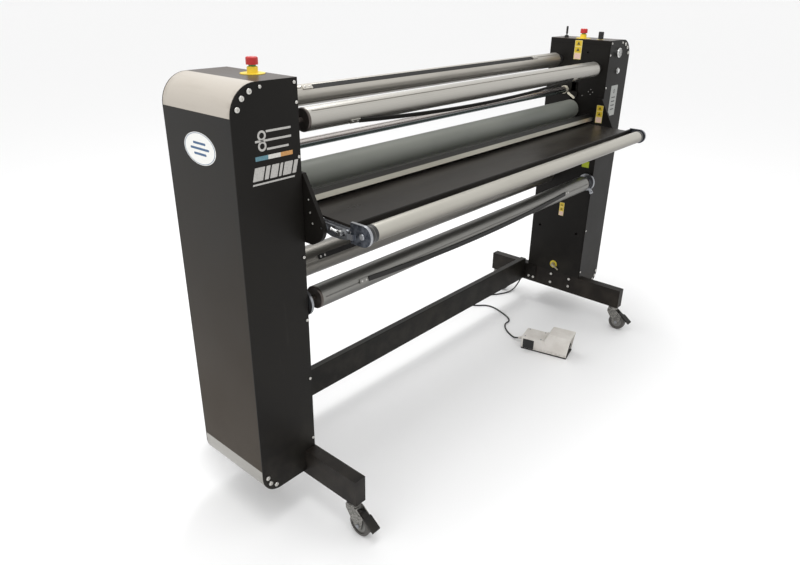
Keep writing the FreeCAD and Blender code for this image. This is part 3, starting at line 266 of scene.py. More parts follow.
sheath.put("Base Color", sheath.mix(grime, tone(22, 22, 21), tone(38, 36, 34)))
sheath.put("Roughness", sheath.ease(grime, 0.3, 0.7, 0.42, 0.6))
sheath.bump(sheath.noise(700), 0.2, 0.0003)
curve.materials.append(sheath.material)
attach(cord, "frame")
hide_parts("pedal_cord")

# ------------------------------------------------------------------ floor and lights
# A plain white floor wide enough to reach past every view, a long soft lamp above the
# rolls and a weak one at the left. A white surround lights the rest evenly.
FLOOR_SIDE, FLOOR_WHITE, SURROUND = 240, 0.93, 1.0
bpy.ops.mesh.primitive_plane_add(size=FLOOR_SIDE, location=(0, 0, 0))
floor = bpy.context.object
floor.name = "floor"
ground = Finish("plain_floor", Roughness=0.8)
ground.shader.inputs["Base Color"].default_value = (FLOOR_WHITE, FLOOR_WHITE, FLOOR_WHITE, 1)
floor.data.materials.append(ground.material)
bpy.context.scene.view_settings.view_transform = "Standard"
world = bpy.data.worlds.new("studio")
world.use_nodes = True
world.node_tree.nodes["Background"].inputs["Color"].default_value = (1, 1, 1, 1)
world.node_tree.nodes["Background"].inputs["Strength"].default_value = SURROUND
bpy.context.scene.world = world


def lamp(name, place, target, size, power):
    light = bpy.data.objects.new(name, bpy.data.lights.new(name, "AREA"))
    light.data.shape = "RECTANGLE"
    light.data.size, light.data.size_y = size
    light.data.energy = power
    light.matrix_world = (Vector(target) - Vector(place)).to_track_quat("-Z", "Y").to_matrix().to_4x4()
    light.location = place
    bpy.context.scene.collection.objects.link(light)


lamp("lamp_above", (-0.2, 0.25, 3.4), (0, 0, 0.9), (4.4, 0.8), 62)
lamp("lamp_left", (-4.0, 0.2, 2.4), (-1, 0, 0.7), (1.6, 2.0), 12)

# ------------------------------------------------------------------ legs, beam and cabinets
# Rectangular steel tube and folded steel sheet, welded and bolted, then powder coated in a
# fine-textured black. The coat is dusty near the floor and lightly scuffed on flat faces.
# The flange round each top panel is folded down inside the cabinet and is painted near-black as painted
# shade.
FLANGE_DROP = 0.002


def powder_coat(name, dark, light, rough, pebble=0.25, low=None):
    coat = Finish(name, IOR=1.25)
    cloudy = coat.noise(3.2, 4)
    grain = coat.noise(1300, 2)
    scuffs = coat.noise(26, 8, coat.stretched(1, 1, 0.12))
    z = coat.axes()[2]
    dusty = coat.ease(z, 0.42, 0.1) * coat.ease(coat.noise(14, 5), 0.35, 0.75)
    paint = coat.mix(coat.ease(cloudy, 0.3, 0.7), tone(*dark), tone(*light))
    # Where a low tone is given, it is mixed in more towards the bottom: a painted brownish sheen.
    if low:
        paint = coat.mix(coat.ease(z, 1.1, 0.25), paint, tone(*low))
    paint = coat.mix(coat.ease(scuffs, 0.66, 0.82) * 0.16, paint, tone(80, 77, 72))
    coat.put("Base Color", coat.mix(dusty * 0.1, paint, tone(110, 103, 92)))
    coat.put("Roughness", coat.ease(cloudy, 0.2, 0.8, rough - 0.06, rough + 0.06) + grain * 0.08)
    coat.bump(grain, pebble, 0.0004)
    return coat


dress(powder_coat("leg_powder_coat", (25, 22, 20), (33, 29, 26), 0.44), "legs")
dress(powder_coat("beam_powder_coat", (17, 16, 14), (24, 22, 19), 0.38), "cross_beam")
black_coat = powder_coat("black_powder_coat", (17, 15, 13), (24, 22, 19), 0.46)
dress(black_coat, "cabinet_frames", "front_plates", "table_side_brackets", "roll_carriers")
# The side panels' brown towards the bottom is a painted sheen.
dress(powder_coat("side_powder_coat", (37, 36, 35), (44, 42, 39), 0.46, low=(52, 44, 34)), "side_panels")
top_coat = powder_coat("top_powder_coat", (58, 50, 45), (70, 61, 55), 0.3, 0.12)
# Painted shade: the folded-down flange, below the panel's top face, is coloured near-black
flange_painted_shade = top_coat.axes()[2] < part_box("top_panels")[1].z - FLANGE_DROP
panel_colour = Value(top_coat.tree, top_coat.shader.inputs["Base Color"].links[0].from_socket)
top_coat.put("Base Color", top_coat.mix(flange_painted_shade, panel_colour, tone(20, 18, 16)))
dress(top_coat, "top_panels")

# ------------------------------------------------------------------ corner and foot trims
# Curved sheet pieces close the outer corners of each cabinet: stone-grey gloss paint at the
# top and silver paint at the foot. Fine dirt settles along their edges.


def gloss_paint(name, colour, dirt, rough, metal=0.0):
    paint = Finish(name, Metallic=metal, Specular_IOR_Level=0.3)
    cloudy = paint.noise(5, 5)
    streaks = paint.noise(40, 6, paint.stretched(1, 0.15, 1))
    y = paint.axes()[1]
    edge = paint.ease(abs(y), 0.118, 0.138) * paint.ease(paint.noise(55, 4), 0.3, 0.7)
    base = paint.mix(paint.ease(streaks, 0.5, 0.8) * 0.2, tone(*colour), tone(*dirt))
    paint.put("Base Color", paint.mix(edge * 0.35, base, tone(*dirt)))
    paint.put("Roughness", paint.ease(cloudy, 0.25, 0.75, rough - 0.07, rough + 0.07))
    paint.bump(paint.noise(900, 2), 0.06, 0.0002)
    return paint


dress(gloss_paint("corner_trim_paint", (178, 171, 161), (140, 131, 118), 0.36), "corner_trims")
dress(gloss_paint("foot_trim_paint", (160, 158, 153), (110, 105, 97), 0.36, 0.55), "foot_trims")

# ------------------------------------------------------------------ fasteners
# Button-head socket screws and hexagon-socket bolts in bright stainless steel, and the
# zinc-plated and chromed levers and arms. The roller's end brackets are folded from zinc
# sheet, with a brighter cut edge round each plate, partly bare steel and partly a painted highlight.
BRACKET_MIDDLE, BRACKET_HALF, EDGE_BAND = 0.8249, 0.0045, 0.0004


def bare_steel(name, colour, rough, brushed=(1, 1, 1), stain=0.3):
    metal = Finish(name, Metallic=1.0)
    spots = metal.noise(180, 5)
    lines = metal.noise(1500, 3, metal.stretched(*brushed))
    stained = metal.ease(spots, 0.45, 0.8) * stain
    metal.put("Base Color", metal.mix(stained, tone(*colour), shaded(colour, 0.62)))
    metal.put("Roughness", metal.ease(spots, 0.2, 0.8, rough - 0.08, rough + 0.1) + lines * 0.06)
    metal.bump(lines, 0.12, 0.0002)
    return metal


dress(bare_steel("screw_steel", (205, 203, 198), 0.26), "case_screws")
zinc = bare_steel("zinc_plate", (150, 152, 156), 0.3, stain=0.6)
dress(zinc, "table_arms", "tension_lever", "take_up_hubs")
bracket_zinc = Finish("bracket_zinc", Metallic=1.0)
x = bracket_zinc.axes()[0]
# Partly painted highlight: the plate edges, away from its two faces, take a brighter tone
face = abs(abs(abs(x) - BRACKET_MIDDLE) - BRACKET_HALF) < EDGE_BAND
spots = bracket_zinc.noise(70, 6)
cut_edge_and_highlight = bracket_zinc.mix(bracket_zinc.ease(spots, 0.4, 0.8), tone(176, 178, 182), tone(128, 130, 134))
rolled = bracket_zinc.mix(bracket_zinc.ease(spots, 0.35, 0.7), tone(72, 76, 84), tone(112, 116, 124))
bracket_zinc.put("Base Color", bracket_zinc.mix(face, cut_edge_and_highlight, rolled))
bracket_zinc.put("Roughness", bracket_zinc.ease(spots, 0.3, 0.7, 0.26, 0.4))
dress(bracket_zinc, "roller_end_brackets")
dress(bare_steel("lever_chrome", (208, 208, 206), 0.16), "clamp_lever_left", "clamp_lever_right")

# ------------------------------------------------------------------ casters
# Pressed zinc forks with a ball-race swivel head, grey rubber wheels on plastic centres,
# and a black brake pedal on each front one. Hexagon nuts close the wheel axles, and a ring
# of rivets runs round the swivel race.
HUB_RADIUS = 0.0235
FORK_HALF = 0.0155
RACE_RADIUS, RACE_TRAIL, RACE_TOP, RACE_RIVETS = 0.0195, 0.029, 0.1066, 12


def finished(name, bm, finish, body, sharp=35):
    """Closes and shades a bmesh, and makes it a piece that rides on a CAD body."""
    bmesh.ops.remove_doubles(bm, verts=bm.verts, dist=0.000002)
    bmesh.ops.recalc_face_normals(bm, faces=bm.faces)
    mesh = bpy.data.meshes.new(name)
    bm.to_mesh(mesh)
    bm.free()
    mesh.materials.append(finish.material)
    mesh.shade_smooth()
    mesh.set_sharp_from_angle(angle=math.radians(sharp))
    made = bpy.data.objects.new(name, mesh)
    bpy.context.scene.collection.objects.link(made)
    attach(made, body)


def facing(outward, centre):
    """Takes a piece made flat on X and Y to a wall: Y goes up and Z points outward."""
    outward = Vector(outward).normalized()
    across = Z.cross(outward) if abs(outward.z) < 0.9 else X
    turned = Matrix((across, outward.cross(across), outward)).transposed().to_4x4()
    return Matrix.Translation(centre) @ turned


def add_lathe(bm, profile, place, steps=32):
    """Spins a profile of (radius, height) points about its own Z, then puts it in place."""
    verts = [bm.verts.new((radius, 0, height)) for radius, height in profile]
    edges = [bm.edges.new(pair) for pair in zip(verts, verts[1:])]
    before = set(bm.verts) - set(verts)
    bmesh.ops.spin(
        bm, geom=verts + edges, axis=Z, cent=(0, 0, 0), steps=steps, angle=math.tau, use_merge=True
    )
    bmesh.ops.transform(bm, matrix=place, verts=[v for v in bm.verts if v not in before])


def add_ring(bm, outer, inner, thick, place, steps):
    rim = [(outer, 0), (outer, thick), (inner, thick), (inner, 0)]
    add_lathe(bm, rim + rim[:1], place, steps)


def add_nut(bm, across, height, place):
    made = bmesh.ops.create_cone(
        bm, cap_ends=True, segments=6, radius1=across / 2, radius2=across / 2, depth=height
    )
    verts = made["verts"]
    bmesh.ops.translate(bm, vec=(0, 0, height / 2), verts=verts)
    edges = list({e for v in verts for e in v.link_edges if all(u.co.z > height * 0.9 for u in e.verts)})
    made = bmesh.ops.bevel(
        bm, geom=edges, offset=across * 0.06, affect="EDGES", segments=2, profile=0.5, material=-1
    )
    island = {v for v in verts if v.is_valid} | set(made["verts"])
    bmesh.ops.transform(bm, matrix=place, verts=list(island))


spangle = Finish("galvanised_fork", Metallic=1.0)
flakes = spangle.node(
    "ShaderNodeTexVoronoi", inputs={"Vector": spangle.place, "Scale": 260.0}, output="Color"
)
flake = spangle.axes(flakes)[0]
spangle.put("Base Color", spangle.mix(flake, tone(92, 91, 88), tone(158, 156, 151)))
spangle.put("Roughness", spangle.ease(flake, 0.0, 1.0, 0.28, 0.48))
spangle.bump(flake, 0.1, 0.0003)
dress(spangle, *(n for n in nodes if n.startswith("caster_fork")))
dress(powder_coat("brake_coat", (20, 20, 20), (32, 31, 30), 0.42), *(n for n in nodes if "brake" in n))
for name in [n for n in nodes if n.startswith("caster_wheel")]:
    low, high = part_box(name)
    hub = (low + high) / 2
    tread = Finish(name + "_tread", Specular_IOR_Level=0.35)
    y, z = tread.axes()[1:]
    out = ((y - hub.y) ** 2 + (z - hub.z) ** 2) ** 0.5
    worn = tread.noise(90, 5)
    rubber = tread.mix(worn, tone(62, 61, 60), tone(98, 95, 91))
    tread.put("Base Color", tread.mix(out > HUB_RADIUS, tone(118, 117, 114), rubber))
    tread.put("Roughness", tread.ease(worn, 0.3, 0.7, 0.5, 0.72))
    tread.bump(tread.noise(600), 0.3, 0.0003)
    dress(tread, name)
    corner = name.removeprefix("caster_wheel_")
    bm = bmesh.new()
    for side, wall in ((-1, hub.x - FORK_HALF), (1, hub.x + FORK_HALF)):
        add_nut(bm, 0.0145, 0.0038, facing((side, 0, 0), (wall, hub.y, hub.z)))
    for turn in range(RACE_RIVETS):
        angle = turn * math.tau / RACE_RIVETS
        across = hub.x + RACE_RADIUS * math.cos(angle)
        along = hub.y + RACE_TRAIL + RACE_RADIUS * math.sin(angle)
        place = Matrix.Translation((across, along, RACE_TOP))
        add_lathe(bm, [(0, 0.0013), (0.0012, 0.0011), (0.0019, 0)], place, 10)
    finished("caster_fittings_" + corner, bm, zinc, "fork_" + corner)

# ------------------------------------------------------------------ badge, marks and labels
# A domed oval badge on the left cabinet's outer panel, screen-printed marks on its front
# plate, and vinyl labels on the right-hand cabinet. All are plain shapes without lettering.
BADGE_BED, BADGE_DOME = 0.0002, 0.35
MARKS_X, MARK_Z, STRIPE_Z, SLANT_Z = -0.934, 1.149, 1.1085, 1.066
SLANT, SLANT_GAP, STRIPE_WIDE, INK = 0.28, 0.0045, 0.0375, 0.0002


def add_label(bm, width, height, corner, thick, place):
    made = bmesh.ops.create_grid(bm, x_segments=1, y_segments=1, size=0.5)
    verts = made["verts"]
    bmesh.ops.scale(bm, vec=(width, height, 1), verts=verts)
    if corner:
        made = bmesh.ops.bevel(
            bm, geom=verts, offset=corner, affect="VERTICES", segments=4, profile=0.5, material=-1
        )
        verts = made["verts"]
    face = verts[0].link_faces[0]
    grown = bmesh.ops.extrude_face_region(bm, geom=[face])["geom"]
    new = [g for g in grown if isinstance(g, bmesh.types.BMVert)]
    bmesh.ops.translate(bm, vec=(0, 0, thick), verts=new)
    bmesh.ops.transform(bm, matrix=place, verts=list(set(verts) | set(new)))


def print_ink(name, colour, rough=0.5):
    ink = Finish(name, Specular_IOR_Level=0.4)
    worn = ink.noise(240, 4)
    ink.put("Base Color", ink.mix(ink.ease(worn, 0.4, 0.75), tone(*colour), shaded(colour, 0.8)))
    ink.put("Roughness", ink.ease(worn, 0.3, 0.7, rough - 0.08, rough + 0.1))
    return ink


white_ink = print_ink("white_ink", (222, 220, 214))
badge_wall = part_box("side_panels")[0].x + BADGE_BED
badge_place = facing((-1, 0, 0), (badge_wall, -0.005, 1.122)) @ Matrix.Diagonal((1, 1, BADGE_DOME, 1))
oval = Matrix.Diagonal((0.068, 0.041, 1, 1))
bm = bmesh.new()
dome = [(0, 0.0011), (0.7, 0.001), (0.93, 0.0008), (1.0, 0.0004), (1.0, 0)]
add_lathe(bm, dome, badge_place @ oval, 64)
finished("oval_badge", bm, print_ink("badge_enamel", (236, 236, 232), 0.25), "frame", 60)
bm = bmesh.new()
rim = [(0.93, 0.0009), (0.93, 0.0013), (0.9, 0.0013), (0.9, 0.001)]
add_lathe(bm, rim + rim[:1], badge_place @ oval, 64)
for step, wide in ((-0.013, 0.052), (0, 0.078), (0.013, 0.052)):
    add_label(bm, wide, 0.0058, 0.0028, 0.0003, badge_place @ Matrix.Translation((0, step, 0.00105)))
finished("oval_badge_bars", bm, print_ink("badge_blue", (58, 92, 128), 0.3), "frame", 60)

front_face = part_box("front_plates")[0].y
front_ink = print_ink("front_ink", (176, 174, 170))
mark = facing((0, -1, 0), (MARKS_X, front_face, MARK_Z))
bm = bmesh.new()
for rise in (0.0125, -0.0125):
    add_ring(bm, 0.0122, 0.007, INK, mark @ Matrix.Translation((-0.034, rise, 0)), 40)
for rise, start, long in ((0.021, 0.0165, 0.075), (0, 0.0, 0.108), (-0.021, 0.012, 0.066)):
    add_label(bm, long, 0.0052, 0.001, INK, mark @ Matrix.Translation((start, rise, 0)))
finished("front_roll_mark", bm, front_ink, "frame")
bm = bmesh.new()
slant = Matrix(((1, SLANT, 0, 0), (0, 1, 0, 0), (0, 0, 1, 0), (0, 0, 0, 1)))
lower = facing((0, -1, 0), (MARKS_X, front_face, SLANT_Z)) @ slant
at = -0.066
for wide in (0.03, 0.012, 0.022, 0.008, 0.026, 0.012):
    place = lower @ Matrix.Translation((at + wide / 2, 0.006, 0))
    add_label(bm, wide, 0.032, 0.0015, INK, place)
    at += wide + SLANT_GAP
add_label(bm, 0.128, 0.0042, 0.001, INK, lower @ Matrix.Translation((0, -0.0185, 0)))
finished("front_slant_bars", bm, front_ink, "frame")
stripe = ((-1, "left", (88, 128, 140)), (0, "middle", (206, 204, 198)), (1, "right", (190, 140, 84)))
for step, side, shade in stripe:
    bm = bmesh.new()
    place = facing((0, -1, 0), (MARKS_X + step * STRIPE_WIDE, front_face, STRIPE_Z))
    add_label(bm, STRIPE_WIDE, 0.0105, 0, INK, place)
    finished("stripe_" + side, bm, print_ink("stripe_ink_" + side, shade), "frame")

inner_wall, bracket_wall = 0.85, 0.838
label_places = (
    (facing((-1, 0, 0), (inner_wall, 0.0055, 1.2395)), 0.034, 0.078),
    (facing((-1, 0, 0), (bracket_wall, -0.137, 0.985)), 0.030, 0.074),
    (facing((-1, 0, 0), (inner_wall, -0.008, 0.5225)), 0.024, 0.064),
)
yellow_vinyl = print_ink("yellow_vinyl", (222, 206, 130), 0.38)
backing, squares, shapes, fields = (bmesh.new() for layer in range(4))
for place, wide, tall in label_places:
    add_label(backing, wide, tall, 0.0015, INK, place)
    third = tall / 3
    for row in (1, 0):
        spot = place @ Matrix.Translation((0, row * third, INK))
        add_label(squares, wide * 0.86, third * 0.86, 0.001, 0.0001, spot)
        made = bmesh.ops.create_cone(
            shapes, cap_ends=True, segments=3, radius1=wide * 0.27, radius2=wide * 0.27, depth=0.0002
        )
        sunk = Matrix.Translation((0, -0.001, 0.0001))
        bmesh.ops.transform(shapes, matrix=spot @ sunk, verts=made["verts"])
    spot = place @ Matrix.Translation((0, -third, INK))
    add_label(fields, wide * 0.86, third * 0.86, 0.001, 0.0001, spot)
finished("yellow_labels", backing, yellow_vinyl, "frame")
finished("label_squares", squares, print_ink("amber_ink", (206, 176, 40), 0.4), "frame")
finished("label_triangles", shapes, print_ink("brown_ink", (92, 84, 40), 0.4), "frame")
finished("label_fields", fields, print_ink("pale_ink", (222, 190, 176), 0.4), "frame")
bm = bmesh.new()
add_label(bm, 0.034, 0.028, 0.001, 0.0003, facing((-1, 0, 0), (inner_wall, -0.099, 0.755)))
finished("green_tag", bm, print_ink("green_vinyl", (176, 190, 40), 0.4), "frame")

plate_place = facing((0, -1, 0), (0.9455, front_face, 1.032))
bm = bmesh.new()
add_label(bm, 0.064, 0.13, 0.002, 0.0004, plate_place)
finished("control_label", bm, print_ink("grey_label", (150, 152, 148), 0.35), "frame")
bm = bmesh.new()
add_ring(bm, 0.009, 0.006, INK, plate_place @ Matrix.Translation((0, 0.04, 0.0004)), 32)
for row in range(4):
    place = plate_place @ Matrix.Translation((0, 0.014 - row * 0.017, 0.0004))
    add_label(bm, 0.034, 0.005, 0.001, INK, place)
finished("control_label_print", bm, print_ink("dark_ink", (60, 60, 62), 0.45), "frame")

# ------------------------------------------------------------------ main rolls
# Steel tubes covered in smooth grey silicone rubber, ground true on the lathe, so very fine
# lines run round them. The turned journals are bare steel.
ROLL_HALF = 0.8315
for name in ("top_roll", "lower_roll"):
    low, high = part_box(name)
    skin = Finish(name + "_silicone", Specular_IOR_Level=0.42)
    x = skin.axes()[0]
    around = skin.noise(1, 3, skin.stretched(900, 3, 3))
    patches = skin.noise(4.5, 5, skin.stretched(0.35, 1, 1))
    steel = abs(x) > ROLL_HALF
    rubber = skin.mix(skin.ease(patches, 0.3, 0.7), tone(104, 107, 101), tone(120, 122, 115))
    skin.put("Base Color", skin.mix(steel, rubber, tone(170, 168, 164)))
    skin.put("Metallic", steel * 1.0)
    skin.put("Roughness", skin.ease(patches, 0.2, 0.8, 0.4, 0.52) + around * 0.06)
    skin.bump(around, 0.05, 0.0003)
    dress(skin, name)

# ------------------------------------------------------------------ film shafts
# Extruded aluminium tubes, satin anodised, with turned dark steel end caps. Drawing lines
# run along the tube, and the underside is painted darker as painted shade. AXES gives each one's Y, Z and
# radius.
END_LIP = 0.8015
# A share of each shaft's tone, used for the painted underside shade and for the drawing lines
SHADE_AND_LINE_SHARE = 0.5
AXES = {
    "front_supply_shaft": (-0.098, 1.171, 0.031),
    "rear_supply_shaft": (0.088, 1.195, 0.030),
    "lower_rear_shaft": (0.072, 0.694, 0.0455),
    "take_up_shaft": (-0.116, 0.677, 0.0335),
}


def anodised(name, node, colour, rough):
    metal = Finish(name, Metallic=0.85)
    x, y, z = metal.axes()
    axis_y, axis_z, radius = AXES[node]
    turn = metal.node("ShaderNodeMath", {"operation": "ARCTAN2"}, {0: z - axis_z, 1: y - axis_y})
    drawn = metal.noise(1, 4, metal.node("ShaderNodeCombineXYZ", inputs={"X": x * 0.6, "Y": turn * 22}))
    smudge = metal.noise(7, 5, metal.stretched(0.4, 1, 1))
    shade_and_line_tone = shaded(colour, SHADE_AND_LINE_SHARE)
    # Painted shade: each shaft darkens from a little above its axis down to its underside
    painted_under_shade = metal.ease((z - axis_z) / radius, 0.45, -0.75)
    base = metal.mix(painted_under_shade, tone(*colour), shade_and_line_tone)
    base = metal.mix(metal.ease(drawn, 0.35, 0.75) * 0.3, base, shade_and_line_tone)
    worn = metal.mix(metal.ease(smudge, 0.5, 0.8) * 0.2, base, tone(120, 116, 110))
    turned = metal.noise(1, 2, metal.stretched(2400, 1, 1))
    metal.put("Base Color", metal.mix(abs(x) > END_LIP, worn, tone(88, 82, 78)))
    metal.put("Roughness", metal.ease(smudge, 0.2, 0.8, rough - 0.05, rough + 0.08) + turned * 0.05)
    metal.bump(drawn + turned * 0.4, 0.05, 0.0003)
    return metal


# The two shafts below the table get darker tones of the same anodised aluminium: painted shade beneath the
# table.
shaft_colours = {
    "front_supply_shaft": (184, 181, 174),
    "rear_supply_shaft": (186, 182, 174),
    "lower_rear_shaft": (128, 125, 119),
    "take_up_shaft": (134, 133, 129),
}
for name, colour in shaft_colours.items():
    dress(anodised(name + "_anodised", name, colour, 0.34), name)

# ------------------------------------------------------------------ carrier straps and idler ends
# A plated steel strap screwed across each roll carrier's lug, a turned collar round each
# end of the idler bar, and small screw heads in the inner plates beside them.
LUG_FACE = 0.838
STRAP_LEAN = math.radians(31)
IDLER_Y, IDLER_Z, IDLER_RADIUS = 0.045, 1.070, 0.014
SCREW_PROUD = 0.00005
screw_bright = bare_steel("strip_screw_steel", (196, 194, 190), 0.3)
strap_plate = bare_steel("carrier_strap", (214, 208, 190), 0.3)
strap_plate.shader.inputs["Metallic"].default_value = 0.25
straps, collars, screws = (bmesh.new() for piece in range(3))
for side in (-1, 1):
    lean = Matrix.Rotation(-STRAP_LEAN if side > 0 else STRAP_LEAN - math.pi, 4, "Z")
    place = facing((-side, 0, 0), (side * LUG_FACE, 0.0065, 1.0495)) @ lean
    add_label(straps, 0.042, 0.009, 0.0035, 0.003, place)
    rim = [(0.0172, 0), (0.0172, 0.013), (0.0165, 0.0137), (0.0148, 0.0137), (0.0148, 0)]
    add_lathe(collars, rim + rim[:1], facing((-side, 0, 0), (side * inner_wall, IDLER_Y, IDLER_Z)), 32)
    dots = [(-0.077, 1.081), (-0.087, 1.071), (-0.067, 1.071), (-0.077, 1.061), (-0.040, 1.052)]
    for y, z in dots:
        wall = facing((-side, 0, 0), (side * (inner_wall - SCREW_PROUD), y, z))
        add_lathe(screws, [(0, 0.0012), (0.0014, 0.001), (0.0021, 0)], wall, 12)
finished("carrier_straps", straps, strap_plate, "carriers")
finished("idler_collars", collars, strap_plate, "frame")
finished("inner_plate_screws", screws, screw_bright, "frame")

# ------------------------------------------------------------------ idler bar
# A thin polished steel tube that the web runs over. Its colour is painted in bands that stand
# for reflections: bright along its top, darker and greener below, with one dark line where the two meet.
chrome_tube = Finish("idler_tube", Metallic=0.9)
z = chrome_tube.axes()[2]
rise = (z - IDLER_Z) / IDLER_RADIUS
# Painted reflection: a thin dark line a little above the tube's middle
line = chrome_tube.ease(abs(rise - 0.25), 0.2, 0.06)
# Painted reflections: light over the top, dark green-grey below
painted_reflection_bands = chrome_tube.mix(chrome_tube.ease(rise, -0.1, 0.5), tone(92, 102, 103), tone(196, 190, 186))
smudge = chrome_tube.noise(7, 5, chrome_tube.stretched(0.4, 1, 1))
chrome_tube.put("Base Color", chrome_tube.mix(line * 0.8, painted_reflection_bands, tone(84, 74, 74)))
chrome_tube.put("Roughness", chrome_tube.ease(smudge, 0.2, 0.8, 0.2, 0.32))
dress(chrome_tube, "idler_bar")

# ------------------------------------------------------------------ rubber strips
# Two black ribbed rubber strips lie in the grooves of each shaft and grip the film core. A
# small block with two screws clamps each end. STRIPS gives each shaft's turn in degrees.
STRIPS = {"front_supply": 42, "rear_supply": -52, "lower_rear": -25, "take_up": -14}
STRIP_ENDS = (-0.622, 0.582)
BLOCK_LONG, BLOCK_WIDE, BLOCK_HIGH, BLOCK_BED = 0.036, 0.0145, 0.0036, 0.0012
strip_rubber = Finish("strip_rubber", Specular_IOR_Level=0.3)
ribs = strip_rubber.noise(500, 3)
strip_rubber.put("Base Color", strip_rubber.mix(ribs, tone(16, 15, 14), tone(32, 30, 28)))
strip_rubber.put("Roughness", strip_rubber.ease(ribs, 0.3, 0.7, 0.5, 0.66))
strip_rubber.bump(ribs, 0.25, 0.0003)
dress(strip_rubber, *(n for n in nodes if n.endswith("_strips")))
screw_head = [(0, 0.0008), (0.0010, 0.0008), (0.0010, 0.0014)]
screw_head += [(0.0028, 0.0011), (0.0034, 0.0004), (0.0034, 0)]
for body, turn in STRIPS.items():
    axis_y, axis_z, radius = AXES[body + "_shaft"]
    bm = bmesh.new()
    blocks = bmesh.new()
    for half_turn in (0, 180):
        angle = math.radians(turn + half_turn)
        out = Vector((0, -math.cos(angle), -math.sin(angle)))
        seat = Matrix((X, out.cross(X), out)).transposed().to_4x4()
        for end, way in zip(STRIP_ENDS, (-1, 1)):
            middle = Vector((end + way * BLOCK_LONG / 2, axis_y, axis_z))
            place = Matrix.Translation(middle + out * (radius - BLOCK_BED)) @ seat
            add_label(blocks, BLOCK_LONG, BLOCK_WIDE, 0.002, BLOCK_HIGH, place)
            for along in (-0.0085, 0.0085):
                add_lathe(bm, screw_head, place @ Matrix.Translation((along, 0, BLOCK_HIGH)), 16)
    finished(body + "_block_screws", bm, screw_bright, body)
    dark = body == "lower_rear"
    # Each block takes its shaft's tone, so the take-up shaft's blocks carry the same painted shade beneath
    # the table.
    finish = strip_rubber if dark else bare_steel(body + "_block_alloy", shaft_colours[body + "_shaft"], 0.36)
    finished(body + "_strip_blocks", blocks, finish, body)

# ------------------------------------------------------------------ shaft bushes
# Black moulded plastic bushes on the inner plates, which the shafts and the idler turn in.
bush = Finish("bush_plastic", Specular_IOR_Level=0.45)
specks = bush.noise(160, 4)
bush.put("Base Color", bush.mix(specks, tone(18, 18, 18), tone(30, 29, 28)))
bush.put("Roughness", bush.ease(specks, 0.3, 0.7, 0.42, 0.58))
dress(bush, "shaft_bushes")

# ------------------------------------------------------------------ hold-down bar
# An aluminium extrusion across the feed slot, coloured dark all round as painted dark
# reflections, with its front facet painted bright as a painted highlight.
bar = Finish("hold_down_anodised", Metallic=0.85)
z = bar.axes()[2]
# Painted highlight: a bright band over the height of the front facet
painted_facet_highlight = bar.ease(z, 0.9525, 0.9545) * bar.ease(z, 0.9695, 0.9675)
drawn = bar.noise(1, 4, bar.stretched(1.5, 700, 700))
patch = bar.noise(6, 4, bar.stretched(0.4, 1, 1))
facet_highlight_tone = bar.mix(bar.ease(patch, 0.3, 0.7), tone(188, 185, 172), tone(168, 165, 153))
bar.put("Base Color", bar.mix(painted_facet_highlight, tone(56, 55, 53), facet_highlight_tone))
bar.put("Roughness", bar.ease(patch, 0.2, 0.8, 0.3, 0.42))
bar.bump(drawn, 0.06, 0.0003)
dress(bar, "hold_down_bar")

# ------------------------------------------------------------------ feed table and front roller
# A folded sheet table in a smooth dark satin coat, polished by the panels slid over it. The
# roller in front is a thin aluminium tube between black plastic end caps, painted darker towards its
# underside as painted shade.
CAP_INNER_EDGE, CAP_SEAM = 0.794, 0.806
table = Finish("table_coat", IOR=1.25)
y = table.axes()[1]
rubbed = table.noise(9, 6, table.stretched(0.5, 1.6, 1))
slides = table.noise(60, 5, table.stretched(1, 0.06, 1))
ridge = table.ease(y, -0.283, -0.288)
coat = table.mix(table.ease(rubbed, 0.3, 0.75), tone(34, 31, 28), tone(46, 43, 39))
coat = table.mix(table.ease(slides, 0.62, 0.8) * 0.2, coat, tone(80, 76, 70))
table.put("Base Color", table.mix(ridge * 0.85, coat, tone(24, 22, 21)))
table.put("Roughness", table.ease(rubbed, 0.2, 0.8, 0.26, 0.4))
table.bump(table.noise(1100, 2), 0.06, 0.0003)
dress(table, "feed_table")
tube = Finish("roller_tube_anodised", Metallic=0.7)
x, y, z = tube.axes()
cap = abs(x) > CAP_INNER_EDGE
seam = tube.ease(abs(abs(x) - CAP_SEAM), 0.0012, 0.0006)
smudge = tube.noise(6, 5, tube.stretched(0.5, 1, 1))
# Painted shade: the tube darkens towards its underside
painted_under_shade = tube.ease(z, 0.932, 0.906)
satin_with_painted_shade = tube.mix(painted_under_shade, tone(180, 177, 168), tone(108, 105, 98))
satin_with_painted_shade = tube.mix(tube.ease(smudge, 0.35, 0.8) * 0.25, satin_with_painted_shade, tone(150, 145, 135))
plastic = tube.mix(seam, tone(26, 26, 26), tone(86, 84, 80))
tube.put("Base Color", tube.mix(cap, satin_with_painted_shade, plastic))
tube.put("Metallic", 0.7 - cap * 0.7)
tube.put("Roughness", tube.ease(smudge, 0.2, 0.8, 0.34, 0.46))
tube.bump(tube.noise(1, 3, tube.stretched(1400, 2, 2)), 0.05, 0.0003)
dress(tube, "front_roller")

# ------------------------------------------------------------------ stop buttons and top controls
# Yellow plastic bodies and red mushroom caps with a green collar, a black finger lever in
# its rubber boot, and a fluted black knob on a printed ring.
COLLAR_DEPTH, ARROW_RADIUS, ARROW_STEP, BLOTCH = 0.0179, 0.0065, 0.32, 0.15


